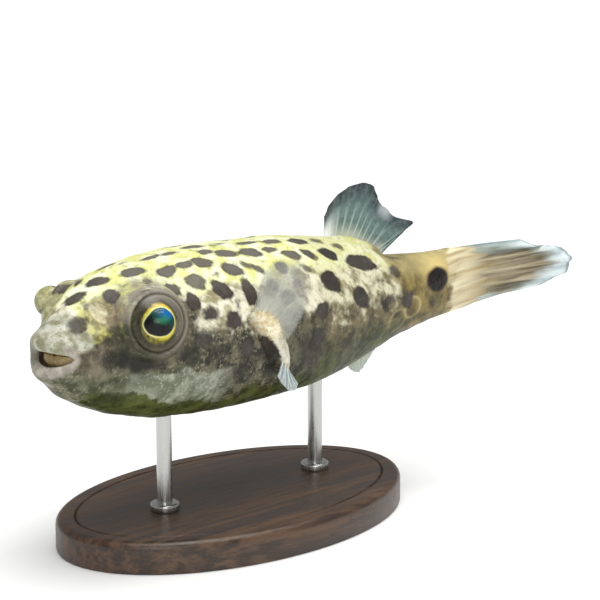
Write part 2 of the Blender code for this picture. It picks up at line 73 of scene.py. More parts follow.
# %% [markdown]
# ## The camera
# A long lens from well back keeps the fish's proportions true.  The camera stands off the
# fish's left front, a little above it, and looks slightly past its middle, so the whole body
# runs across the view with the head at the left.

# %% Camera
VIEW_AZIMUTH, VIEW_ELEVATION, VIEW_DISTANCE = 48.86, 12.62, 0.330
VIEW_TARGET = Vector((0.0, 0.0035, 0.035))
VIEW_LENS = 125.2
VIEW_ASIDE, VIEW_OVER, VIEW_DEEP = 50.7, 3.2, 2086.8  # the line of sight, across, up and away

azimuth, elevation = math.radians(VIEW_AZIMUTH), math.radians(VIEW_ELEVATION)
view_right = Vector((math.cos(azimuth), math.sin(azimuth), 0.0))
level_back = Vector((math.sin(azimuth), -math.cos(azimuth), 0.0))
view_back = level_back * math.cos(elevation) + Vector((0.0, 0.0, math.sin(elevation)))
view_up = view_back.cross(view_right)
camera = bpy.data.objects.new("camera", bpy.data.cameras.new("camera"))
bpy.context.collection.objects.link(camera)
camera.data.lens, camera.data.sensor_width = VIEW_LENS, 36.0
camera.data.clip_start, camera.data.clip_end = 0.01, 50.0
camera.location = VIEW_TARGET + view_back * VIEW_DISTANCE
aim = (view_right * VIEW_ASIDE + view_up * VIEW_OVER - view_back * VIEW_DEEP).normalized()
camera.rotation_euler = aim.to_track_quat("-Z", "Y").to_euler()
bpy.context.scene.camera = camera
print("camera at", [round(v, 4) for v in camera.location])

# %% [markdown]
# ## Floor and light
# A wet fish is seen best under a wide soft light from above, like a bright overcast sky: the
# back turns pale and bright and the belly falls into shade.  A sun lamp spread over a wide
# angle does that evenly over the whole floor, a disc fills from the side of the camera, and
# the pale world lights the rest.

# %% Floor
def deselect_all():
    """Nothing stays selected, so the next operator works on the new piece alone."""
    if bpy.context.object and bpy.context.object.mode != "OBJECT":
        bpy.ops.object.mode_set(mode="OBJECT")
    for other in bpy.context.view_layer.objects:
        other.select_set(False)


def plain_material(name, colour, roughness):
    made = bpy.data.materials.new(name)
    made.use_nodes = True
    shader = made.node_tree.nodes["Principled BSDF"]
    shader.inputs["Base Color"].default_value = (*colour, 1.0)
    shader.inputs["Roughness"].default_value = roughness
    return made


deselect_all()
bpy.ops.mesh.primitive_plane_add(size=9.0, location=(0.0, 0.0, 0.0))
floor = bpy.context.object
floor.name = "floor"
floor.data.materials.append(plain_material("floor paper", (0.92, 0.92, 0.92), 0.9))
print("floor", tuple(round(v, 2) for v in floor.dimensions))

# %% Lights
def aimed(made, place, target):
    bpy.context.collection.objects.link(made)
    made.location = place
    made.rotation_euler = (Vector(target) - Vector(place)).to_track_quat("-Z", "Y").to_euler()
    return made


sky = bpy.data.lights.new("sky light", "SUN")
sky.energy, sky.angle, sky.color = 3.0, math.radians(50), (1.0, 1.0, 0.98)
aimed(bpy.data.objects.new("sky light", sky), (0.12, 0.05, 1.0), (0.0, 0.0, 0.0))

fill = bpy.data.lights.new("fill light", "AREA")
fill.shape, fill.size, fill.energy = "DISK", 0.5, 2.6
aimed(bpy.data.objects.new("fill light", fill), (0.75, -0.62, 0.42), (0.0, 0.0, 0.03))

world = bpy.data.worlds.new("pale room")
bpy.context.scene.world = world
world.use_nodes = True
world.node_tree.nodes["Background"].inputs["Color"].default_value = (1.0, 1.0, 1.0, 1.0)
world.node_tree.nodes["Background"].inputs["Strength"].default_value = 0.32
bpy.context.scene.view_settings.view_transform = "Standard"

# %% [markdown]
# ## The bent spine
# A fish is easiest to describe along its own spine: how far back from the lips a place is,
# how far out to the left and how high.  Head and tail both curve to the fish's left here,
# so one function turns those three numbers into a place in the room.

# %% Spine
SPINE_ORIGIN, SPINE_HEIGHT = 40.5, 35.0
HEAD_BEND_START, HEAD_TURN = 37.0, 14.5
TAIL_BEND_START, TAIL_TURN = 48.4, 10.6
STANDARD_LENGTH = 88.0


def spine_heading(back):
    ahead = np.maximum(HEAD_BEND_START - back, 0) / HEAD_BEND_START
    behind = np.maximum(back - TAIL_BEND_START, 0) / (STANDARD_LENGTH - TAIL_BEND_START)
    return np.radians(behind * TAIL_TURN - ahead * HEAD_TURN)


def in_space(back, out, height):
    """Millimetres in the model's frame of a place given along, left of and over the spine."""
    back, out, height = np.broadcast_arrays(*(np.asarray(v, float) for v in (back, out, height)))
    heading = spine_heading(back)
    head_radius = HEAD_BEND_START / math.radians(HEAD_TURN)
    tail_radius = (STANDARD_LENGTH - TAIL_BEND_START) / math.radians(TAIL_TURN)
    straight = np.clip(back, HEAD_BEND_START, TAIL_BEND_START) - SPINE_ORIGIN
    radius = np.where(back < HEAD_BEND_START, head_radius, np.where(back > TAIL_BEND_START, tail_radius, 0.0))
    x, y = radius * (1 - np.cos(heading)), straight + radius * np.sin(heading)
    return np.stack((x + out * np.cos(heading), y - out * np.sin(heading), height + SPINE_HEIGHT), axis=-1)


def directions(back):
    heading = float(spine_heading(np.float64(back)))
    out = np.array((math.cos(heading), -math.sin(heading), 0.0))
    return out, np.array((math.sin(heading), math.cos(heading), 0.0)), np.array((0.0, 0.0, 1.0))


print("snout at", in_space(0, 0, -1.0).round(1), "tail root at", in_space(88, 0, -2.0).round(1))

# %% Smooth reading of a table
def smooth_through(places, rows, at):
    """Columns of rows, given at rising places, read at others without overshoot."""
    places, rows, at = (np.asarray(part, float) for part in (places, rows, at))
    rows = rows.reshape(len(places), -1)
    steps = np.diff(places)[:, None]
    slopes = np.diff(rows, axis=0) / steps
    before, after = slopes[:-1], slopes[1:]
    same_way = before * after > 0
    blend = np.where(same_way, before * after, 0.0) * 3 * (steps[:-1] + steps[1:])
    near = (2 * steps[1:] + steps[:-1]) * after + (steps[1:] + 2 * steps[:-1]) * before
    inner = blend / np.where(same_way, near, 1.0)
    tangents = np.vstack([slopes[:1], inner, slopes[-1:]])
    left = np.clip(np.searchsorted(places, at, side="right") - 1, 0, len(places) - 2)
    width = steps[left]
    t = ((at - places[left]) / width[:, 0])[:, None]
    start = (1 + 2 * t) * (1 - t) ** 2 * rows[left] + t * (1 - t) ** 2 * width * tangents[left]
    end = t * t * (3 - 2 * t) * rows[left + 1] + t * t * (t - 1) * width * tangents[left + 1]
    return start + end


def ease(low, high, value):
    """0 below the first value, 1 over the second and an S-curve between them."""
    share = np.clip((value - low) / (high - low), 0, 1)
    return share * share * (3 - 2 * share)


def hump(value, middle, half_width):
    """1 at the middle, falling smoothly to 0 at the half width to either side."""
    return 1 - ease(0.0, half_width, np.abs(value - middle))


def ripple(points, size, seed, count=24):
    """Smooth seeded unevenness between about -1 and 1, with lumps of about this size in mm."""
    dice = np.random.default_rng(seed)
    ways = dice.normal(size=(count, 3))
    lengths = np.linalg.norm(ways, axis=1)[:, None]
    ways *= (2 * math.pi / (size * 2.2)) / lengths * dice.uniform(0.6, 1.5, count)[:, None]
    phases = dice.uniform(0, 2 * math.pi, count)
    return np.sin(points @ ways.T + phases).sum(axis=-1) / math.sqrt(count) * 0.75


print("ease at 0.5:", ease(0, 1, 0.5))

# %% [markdown]
# ## The skin's rings
# The body of a pufferfish is one smooth sack of skin that runs from inside the mouth, over
# the lips, round the head and trunk and down to the root of the tail fin.  It is made as one
# closed sleeve from a flat grid: each row of the grid becomes a ring round the body.  Rings
# follow the same table as the solid's, closest together on the head, which is looked at most.

# %% Sections
# back, top, bottom, half width, sweep of the sides behind the middle, roundness exponent
MOUTH_SECTIONS = (
    (7.0, -0.7, -0.9, 0.1, 0.0, 2.0),
    (6.6, 0.6, -2.2, 2.2, 0.8, 2.4),
    (5.0, 1.0, -2.8, 3.0, 1.6, 2.5),
    (2.6, 0.5, -2.4, 3.1, 1.9, 2.3),
    (1.5, 0.10, -1.95, 2.95, 1.9, 2.1),
    (0.8, 0.05, -1.85, 3.1, 2.0, 1.9),
    (0.25, 0.50, -2.2, 3.5, 2.2, 1.85),
    (0.0, 1.35, -3.0, 4.2, 2.6, 1.95),
    (0.35, 2.2, -3.9, 4.8, 2.8, 2.1),
    (1.1, 2.75, -4.6, 5.2, 2.9, 2.15),
    (1.9, 3.15, -5.15, 5.4, 2.9, 2.15),
    (2.9, 3.8, -6.05, 5.7, 2.8, 2.1),
)
BODY_SECTIONS = (
    (4.2, 4.7, -7.4, 6.0, 2.6, 2.0),
    (8.0, 7.3, -9.4, 7.4, 2.2, 2.05),
    (13.5, 9.2, -11.8, 9.4, 1.0, 2.2),
    (20.0, 10.2, -13.6, 10.9, 0.4, 2.2),
    (30.0, 10.8, -14.8, 12.1, 0.0, 2.2),
    (42.0, 10.5, -15.1, 12.0, 0.0, 2.2),
    (52.8, 9.8, -14.8, 10.8, 0.0, 2.2),
    (63.4, 7.8, -12.9, 8.3, 0.0, 2.2),
    (73.9, 4.1, -9.5, 5.5, 0.0, 2.2),
    (81.8, 3.7, -7.9, 3.7, 0.0, 2.2),
    (86.0, 3.9, -7.3, 2.2, 0.0, 2.2),
    (89.0, 3.7, -6.8, 1.0, 0.0, 2.2),
    (92.0, 3.3, -6.1, 0.50, 0.0, 2.2),
)
TAIL_END = ((94.6, 2.5, -5.2, 0.10, 0.0, 2.0), (94.8, -1.3, -1.5, 0.02, 0.0, 2.0))
SKIN_SECTIONS = MOUTH_SECTIONS + BODY_SECTIONS + TAIL_END
# How many rings lie between one section of the table and the next.
RING_COUNTS = (3, 6, 5, 5, 4, 5, 6, 6, 6, 6, 8, 9, 24, 32, 38, 44, 30, 26, 26, 30, 24, 14, 10, 5, 2, 3)
COLUMNS = 238

ring_steps = (n + (np.arange(count) + 1) / count for n, count in enumerate(RING_COUNTS))
ring_places = np.concatenate([[0.0], *ring_steps])
ring_rows = smooth_through(np.arange(len(SKIN_SECTIONS)), SKIN_SECTIONS, ring_places)
RINGS = len(ring_rows)
print("rings", RINGS, "columns", COLUMNS, "triangles", (RINGS - 1) * COLUMNS * 2)

# %% The sleeve as a plain surface
def section_points(rows, turn):
    """Places on rings (one row each) at the given turns, in millimetres."""
    columns = (column[..., None] for column in np.moveaxis(rows, -1, 0))
    back, top, bottom, half_width, sweep, exponent = columns
    across = np.sign(np.cos(turn)) * np.abs(np.cos(turn)) ** (2 / exponent)
    over = np.sign(np.sin(turn)) * np.abs(np.sin(turn)) ** (2 / exponent)
    middle, half_height = (top + bottom) / 2, (top - bottom) / 2
    return back + sweep * across**2, across * half_width, middle + over * half_height


GAPE_SHIFT = 0.85  # the lips part a little to the left of the middle

turns = np.linspace(0, 2 * math.pi, COLUMNS + 1)
backs, outs, heights = section_points(ring_rows, turns[None, :])
outs += GAPE_SHIFT * ease(8.0, 4.5, ring_places)[:, None]
ring_back = np.where(ring_places >= len(MOUTH_SECTIONS), ring_rows[:, 0], np.minimum(ring_rows[:, 0], 4.2))
station = np.broadcast_to(ring_back[:, None], backs.shape)
rise = np.degrees(np.arcsin(np.clip(np.sin(turns), -1, 1)))[None, :] + 0 * backs
side = np.sign(np.cos(turns))[None, :] + 0 * backs
outside = (ring_places >= 5.5)[:, None] + 0 * backs
print("widest", outs.max().round(2), "lowest", heights.min().round(2))

# %% [markdown]
# ## Forms of flesh on the sleeve
# The sleeve is pushed in and out where the animal has more form than a smooth sack: the
# fleshy roots of the dorsal and anal fins, the thick arms that carry the pectoral fins, the
# gill slits in front of them, the mounds and sockets of the eyes and the nostril lobes.
# Each is a smooth push whose size and place come from a named value.

# %% Fin roots on the back and belly
# back, height, then half length, half width, half height, degrees of slope
DORSAL_LOBE = (65.4, 5.9, 6.8, 1.9, 2.1, -15.0)
ANAL_LOBE = (67.8, -10.4, 4.8, 1.5, 1.9, 17.0)


def lobe_height(lobe, way, back, out, height):
    """The skin's height where a half-sunk rounded lump lies under it."""
    middle_back, middle_height, half_length, half_width, half_height, slope = lobe
    along = (back - middle_back) / math.cos(math.radians(slope))
    left = 1 - (along / half_length) ** 2 - (out / half_width) ** 2
    lump = np.sqrt(np.maximum(left, 0)) * half_height
    target = middle_height + (back - middle_back) * math.tan(math.radians(slope)) + way * lump
    gain = np.maximum((target - height) * way, 0) * (left > 0) * (height * way > middle_height * way - 3)
    return height + way * gain * ease(0.0, 0.6, gain)


heights = lobe_height(DORSAL_LOBE, 1, backs, outs, heights)
heights = lobe_height(ANAL_LOBE, -1, backs, outs, heights)
print("dorsal lobe top", heights[(backs > 64) & (backs < 66)].max().round(2))

# %% Pectoral arms and gill slits
# The arm's line down the flank: back, out, height, half thickness, half breadth.
PECTORAL_ARM = (
    (34.0, 11.3, 2.2, 0.3, 0.9),
    (35.1, 11.7, 1.4, 0.7, 1.5),
    (36.6, 12.0, 0.3, 0.9, 1.8),
    (38.1, 12.1, -1.1, 1.0, 1.5),
    (39.4, 12.2, -3.0, 0.9, 1.0),
    (40.4, 12.3, -5.4, 0.8, 0.75),
    (40.8, 12.2, -7.8, 0.5, 0.6),
)
GILL_SLIT = ((34.4, 1.0), (35.8, -1.2), (37.4, -3.2), (38.6, -5.2))  # back, height

arm_table = smooth_through(np.arange(7), PECTORAL_ARM, np.linspace(0, 6, 61))


def near_line(line, back, height):
    """Distance of skin points from a line on the flank and the line's nearest point."""
    gaps = np.hypot(back[..., None] - line[:, 0], height[..., None] - line[:, 1])
    return gaps.min(axis=-1), gaps.argmin(axis=-1)


flank = (np.abs(outs) > 7) & (backs > 28) & (backs < 48)
arm_gap, arm_near = near_line(arm_table[:, [0, 2]], backs[flank], heights[flank])
arm_row = arm_table[arm_near]
arm_share = np.sqrt(np.maximum(1 - (arm_gap / (arm_row[:, 4] * 1.25)) ** 2, 0))
arm_reach = arm_row[:, 1] - 0.2 + arm_row[:, 3] * arm_share
skin_reach = np.abs(outs[flank])
lift = np.maximum(arm_reach - skin_reach, 0) * (arm_share > 0)
outs[flank] += np.sign(outs[flank]) * lift * ease(0.0, 0.5, arm_share)
arm_mask, arm_foot = np.zeros_like(outs), np.zeros_like(outs)
arm_foot[flank] = ease(28, 44, arm_near)
arm_mask[flank] = ease(1.30, 0.45, arm_gap / (arm_row[:, 4] * 1.25)) * ease(-6, 8, arm_near)

slit_line = smooth_through(np.arange(4), GILL_SLIT, np.linspace(0, 3, 31))
slit_gap, _ = near_line(slit_line, backs[flank] + 0.6, heights[flank])
outs[flank] -= np.sign(outs[flank]) * 0.7 * hump(slit_gap, 0.0, 0.9)
# The gill slit's dent is painted dark brown: painted shade in the slit.
slit_shade_mask = np.zeros_like(outs)
slit_shade_mask[flank] = hump(slit_gap, 0.0, 1.3)
print("arm lifts the skin by up to", lift.max().round(2))

# %% [markdown]
# ## Eye sockets
# A puffer's eye sits in a round opening with a fine raised edge, on a low mound of flesh.
# Skin inside the opening dips under the ball, so the eye stands in it and not on it.

# %% Where the eyes are
EYE_BACK, EYE_FORWARD = 14.1, 21.0
EYE_RADIUS, EYE_DEPTH, EYE_SUNK = 4.75, 3.2, 1.5
LEFT_OPENING, RIGHT_OPENING = (10.5, 3.4, 10.0), (10.3, 2.1, 14.0)
LEFT_DOME, RIGHT_DOME = (3.1, 1.0, 10.0), (2.3, 3.2, 38.0)
ORBIT_RIM, ORBIT_LIP, ORBIT_DROP = 4.8, -0.08, 1.3
ORBIT_RAISED, ORBIT_PRESSED = 6.2, 8.4


def eye_look(way, up_turn, ahead=EYE_FORWARD):
    out, back, up = directions(EYE_BACK)
    forward, raised = math.radians(ahead), math.radians(up_turn)
    flat = out * way * math.cos(forward) - back * math.sin(forward)
    return flat * math.cos(raised) + up * math.sin(raised)


def eye_frame(way):
    out, height, up_turn = LEFT_OPENING if way > 0 else RIGHT_OPENING
    return in_space(EYE_BACK, out * way, height), eye_look(way, up_turn)


def eye_distances(points, way):
    middle, look = eye_frame(way)
    away = points - middle
    along = away @ look
    return along, np.linalg.norm(away - along[..., None] * look, axis=-1)

# %% Press the sockets
SOCKET_DEPTH, FOLD_DEPTH = -9.0, -6.0  # nothing further in than this is moved
RIM_FOLD, RIM_GROOVE, UNDER_BALL = (0.26, 4.6, 0.48), (0.12, 5.4, 0.5), (2.6, 4.22, 3.7)

skin_points = in_space(backs, outs, heights)
orbit_gap = np.full(backs.shape, 99.0)
for way in (1, -1):
    middle, look = eye_frame(way)
    along, beside = eye_distances(skin_points, way)
    rim = ORBIT_LIP - ORBIT_DROP * ease(ORBIT_RIM, ORBIT_PRESSED, beside)
    reach = np.where(rim > along, ORBIT_RAISED, ORBIT_PRESSED)
    pull = (1 - ease(ORBIT_RIM, reach, beside)) * (along > SOCKET_DEPTH)
    fold = RIM_FOLD[0] * hump(beside, *RIM_FOLD[1:]) - RIM_GROOVE[0] * hump(beside, *RIM_GROOVE[1:])
    fold = fold - UNDER_BALL[0] * ease(*UNDER_BALL[1:], beside)
    skin_points = skin_points + ((pull * (rim - along)) + fold * (along > FOLD_DEPTH))[..., None] * look
    near = (along > SOCKET_DEPTH) & (beside < orbit_gap)
    orbit_gap = np.where(near, beside, orbit_gap)
print("skin points near an eye:", int((orbit_gap < 5).sum()))

# %% [markdown]
# ## Folds, nostrils and lips
# Small forms are pushed along the skin's own facing, which comes from the grid: one step
# along the body and one step round it give two directions, and their cross product faces out.

# %% Facing of the sleeve
def facing(points):
    along = np.gradient(points, axis=0)
    around = np.empty_like(points)
    around[:, 1:-1] = points[:, 2:] - points[:, :-2]
    around[:, 0] = around[:, -1] = points[:, 1] - points[:, -2]
    out = np.cross(around, along)
    length = np.linalg.norm(out, axis=-1, keepdims=True)
    return out / np.maximum(length, 1e-9)


def from_place(back, turn, depth):
    """Every skin point's distance back of and up over a place, and whether it is this near its plane.

    The place is given in millimetres back and degrees round; up is away from the belly.
    """
    ring = len(ring_back) - 1 - int(np.argmin(np.abs(ring_back[::-1] - back)))
    column = int(round((turn % 360.0) / 360.0 * COLUMNS)) % COLUMNS
    along = skin_points[min(ring + 2, RINGS - 1), column] - skin_points[ring - 2, column]
    around = skin_points[ring, (column + 2) % COLUMNS] - skin_points[ring, (column - 2) % COLUMNS]
    along /= np.linalg.norm(along)
    out = np.cross(around, along)
    out /= np.linalg.norm(out)
    up = np.cross(along, out) * (1 if math.cos(math.radians(turn)) >= 0 else -1)
    away = skin_points - skin_points[ring, column]
    return away @ along, away @ up, np.abs(away @ out) < depth


skin_out = facing(skin_points)
print("left side faces", skin_out[RINGS // 2, 0].round(2))
print("top faces", skin_out[RINGS // 2, COLUMNS // 4].round(2))

# %% Nostrils
NOSTRIL_BACK, NOSTRIL_TURN, NOSTRIL_DEPTH = 7.0, 52.0, 2.5
# Each lobe: shift back, shift up, half width, half height, how far it stands out.
NOSTRIL_LOBES = ((-0.25, 0.2, 0.85, 1.8, 0.8), (0.7, 0.35, 0.6, 1.2, 0.6))

nostril_mask, nostril_foot, pushes = (np.zeros_like(backs) for _ in range(3))
for turn in (NOSTRIL_TURN, 180 - NOSTRIL_TURN):
    level, raised, close = from_place(NOSTRIL_BACK, turn, NOSTRIL_DEPTH)
    for shift, lift_up, half_width, half_height, stand_out in NOSTRIL_LOBES:
        spread = ((level - shift) / half_width) ** 2 + ((raised - lift_up) / half_height) ** 2
        pushes = np.maximum(pushes, stand_out * np.where(close, np.maximum(1 - spread, 0) ** 0.8, 0))
        nostril_mask = np.maximum(nostril_mask, np.where(close, ease(1.35, 0.7, spread), 0))
    spread = ((level - 0.7) / 2.4) ** 2 + ((raised + 0.3) / 2.6) ** 2
    nostril_foot = np.maximum(nostril_foot, np.where(close, ease(1.5, 0.4, spread), 0))
print("nostril skin points", int((pushes > 0).sum()))

# %% Lip wrinkles, cheek folds and soft unevenness
# Each crease: degrees round where it starts, where it starts and ends in mm back, depth.
CREASES = ((-18, 3.4, 8.5, 0.22), (198, 3.4, 8.5, 0.22), (12, 3.2, 6.2, 0.16), (168, 3.2, 6.2, 0.16))
CREASE_SLOPE, CREASE_HALF_WIDTH = 3.0, 9.0  # degrees a millimetre, degrees

lip_zone = (hump(ring_places, 7.2, 3.6) * (ring_places > 3.0))[:, None] + 0 * backs
lip_wrinkle = 0.022 * np.sin(turns * 34 + 2 * ripple(skin_points, 3.0, 3)) * lip_zone
face = ease(2.0, 6.0, station) * ease(34.0, 26.0, station)
trunk = ease(24.0, 34.0, station)
pushes = pushes + outside * (
    lip_wrinkle
    + face * (0.10 * ripple(skin_points, 3.2, 11) + 0.045 * ripple(skin_points, 1.3, 12))
    + trunk * (0.10 * ripple(skin_points, 5.0, 13) + 0.04 * ripple(skin_points, 1.5, 14))
    + 0.018 * ripple(skin_points, 0.75, 15)
) * ease(4.3, 5.6, orbit_gap)
# A crease runs back and down from each corner of the mouth, with a shorter one above it.
for turn, low, high, depth in CREASES:
    wander = turn + (station - low) * (-CREASE_SLOPE if turn in (-18, 12) else CREASE_SLOPE)
    off = (np.degrees(turns)[None, :] - wander + 180) % 360 - 180
    pushes -= depth * hump(off, 0.0, CREASE_HALF_WIDTH) * hump(station, (low + high) / 2, (high - low) / 2)
skin_points = skin_points + pushes[..., None] * skin_out
print("largest push, mm", float(pushes.max().round(2)), float(pushes.min().round(2)))

# %% [markdown]
# ## Colour areas
# The fish is yellow-green on its back, cream on its flanks and grey-brown with pale speckles
# lower down.  Below, a dark olive is painted shade with a painted green reflection.  Each area
# is a soft mask over the sleeve that says how much of that colour lies there; the finish mixes
# its colours with them.  Borders wander with ripples, since no border on an animal is straight.

# %% Soft masks
def uneven(gain, size, seed):
    return gain * ripple(skin_points, size, seed)


climb = rise + uneven(5.0, 4.0, 21) + uneven(2.5, 1.6, 22)
rear = ease(42, 56, station + uneven(2.0, 3.0, 29))
ahead = ease(15.5, 10.5, station) * ease(38, 24, rise)
low_edge = climb + 9 * ease(58, 15, station) - 10 * ease(44, 58, station)
cheek_edge = climb + 6 * hump(station, 8, 4) - 8 * hump(station, 12, 5)
lip_edge = rise + 30 * hump(ring_places, 6.0, 1.2)[:, None]
lip_rings = np.maximum(ease(0.7, -0.2, station), hump(ring_places, 6.2, 1.6)[:, None])
masks = {
    "rear": rear,
    "yellow": ease(30, 50, climb) * (1 - 0.6 * ease(66, 74, station))
    * ease(3.4, 8.6, station + uneven(1.2, 2.0, 23)),
    "brown": ease(24 + 10 * rear, -6 - 16 * rear, climb + uneven(6, 2.6, 27)) * ease(17, 25, station),
    # The lower flank and cheek; at the rear it turns the brown darker and greener as painted shade.
    "low": ease(4, -26, climb),
    "band": ease(-58, -50, climb) * ease(-12, -20, climb) * ease(7.5, 12.5, station) * ease(34, 24, station),
    # The underside, painted dark olive: painted shade with a painted green reflection.
    "underside_shade": ease(-22, -44, low_edge) * ease(1.8, 5.5, station + 0.03 * rise) * ease(76, 66, station),
    "stalk": ease(67.5, 75.5, station + 0.05 * (rise - 20) + uneven(1.2, 3.0, 24)),
    "cheek": ease(28, 18, station) * ease(46, 30, cheek_edge),
    "muzzle": ease(7.0, 3.0, station + uneven(0.8, 1.6, 30)) * ease(32, 8, rise) * ease(-44, -18, rise),
    "snout": ease(6.2, 3.0, station + 2.0 * ease(50, 15, rise) + uneven(0.9, 1.8, 28)) * ease(4, 26, rise),
    "brow": ease(13.5, 8.0, station + uneven(0.8, 2.0, 32)) * ease(18, 30, rise) * ease(80, 60, rise),
    "lip": lip_rings * (ring_places > 3.0)[:, None] * outside * ease(75, 35, lip_edge),
    "root": ease(82.6, 87.4, station + uneven(1.2, 1.5, 26)),
    "station": station.copy(),
    "arm": arm_mask,
    "arm_foot": arm_foot,
    "slit_shade": slit_shade_mask,
    "nostril": nostril_mask,
    "foot": nostril_foot,
    "ahead": ahead,
    "orbit": ease(8.0 + 1.6 * ahead, 4.7, orbit_gap + uneven(0.5, 1.8, 33)),
    "above": ease(20, 50, rise),
    "knob": ease(8.4, 5.4, orbit_gap) * (side < 0),
    "rim": (0.8 * hump(orbit_gap, 4.62, 0.32) + 0.5 * hump(orbit_gap, 5.25, 0.22)) * (1 - 0.8 * ahead),
    # The right side of the snout's front, painted darker grey-green: painted shade.
    "far_snout_shade": ease(0.35, 0.9, -np.cos(turns))[None, :] * ease(3.5, 1.0, station),
    "inside": 1 - outside,
}
# A painted sheen of light over the back, from the crown to the middle of the trunk, which lightens the spots
# there.
masks["painted_sheen"] = masks["yellow"] * ease(9, 17, station) * ease(54, 46, station)
print({name: round(float(values.mean()), 3) for name, values in masks.items()})

# %% Dark clouds, painted shade and tail loops
# back, turn, half length, half breadth, strength: soft dark places on both sides; some are the
# fish's own dark mottling and some are painted shade, below the eye, in front of the pectoral fin
# and the fin's shadow behind it
CLOUDS_AND_SHADE = (
    (3.2, -3.0, 2.0, 1.9, 0.42), (7.4, -4.0, 2.8, 2.0, 0.85), (10.8, -7.5, 2.8, 1.9, 1.0),
    (13.8, -9.0, 2.6, 1.4, 0.6), (20.5, -3.0, 2.6, 1.6, 0.7), (32.0, -18.0, 5.0, 3.4, 0.5),
    (38.4, -12.0, 1.6, 4.4, 0.85), (46.6, -15.0, 4.4, 4.6, 0.65), (26.0, -4.0, 4.0, 2.0, 0.5),
    (55.0, -14.0, 5.0, 3.2, 0.35), (66.0, 2.0, 3.6, 1.8, 0.5), (59.0, -32.0, 9.0, 3.0, 0.4),
    (80.6, -13.0, 3.4, 2.6, 0.6), (72.4, 16.0, 1.8, 2.4, 0.45), (84.8, -12.0, 1.4, 2.2, 0.5),
    (76.5, -30.0, 6.0, 1.8, 0.5),
)
# back, turn, radius, strength: yellowish loops under the root of the tail, darker inside
LOOPS = ((74.8, -11.0, 1.75, 1.0), (70.6, -19.0, 1.9, 0.5))

clouds_and_shade, loop_line, loop_middle = (np.zeros_like(backs) for _ in range(3))
for back, turn, half_length, half_breadth, strength in CLOUDS_AND_SHADE:
    for angle in (turn, 180 - turn):
        level, raised, close = from_place(back, angle, 5)
        spread = (level / half_length) ** 2 + (raised / half_breadth) ** 2
        clouds_and_shade = np.maximum(clouds_and_shade, np.where(close, strength * np.exp(-1.1 * spread), 0))
for back, turn, radius, strength in LOOPS:
    for angle in (turn, 180 - turn):
        level, raised, close = from_place(back, angle, 3)
        off = np.hypot(level / 1.2, raised)
        loop_line = np.maximum(loop_line, strength * np.where(close, hump(off, radius, 0.40), 0))
        middle = ease(radius - 0.3, radius - 1.1, off)
        loop_middle = np.maximum(loop_middle, strength * np.where(close, middle, 0))
masks |= {"cloud_and_shade": clouds_and_shade, "loop": loop_line, "loop_middle": loop_middle}
print("clouds_and_shade", len(CLOUDS_AND_SHADE) * 2)

# %% [markdown]
# ## Spots
# Dark round spots, each drawn out a little and turned its own way, cover the back and flanks;
# no two are alike.  Every spot is a signed distance over the skin: positive inside its rim and
# negative outside, so that the finish can draw its edge as sharp or as soft as it needs.
# The left side's spots are set one by one.  The other side wears a loose mirror image of
# them, shifted by chance, because the two sides of one fish are alike but never the same.

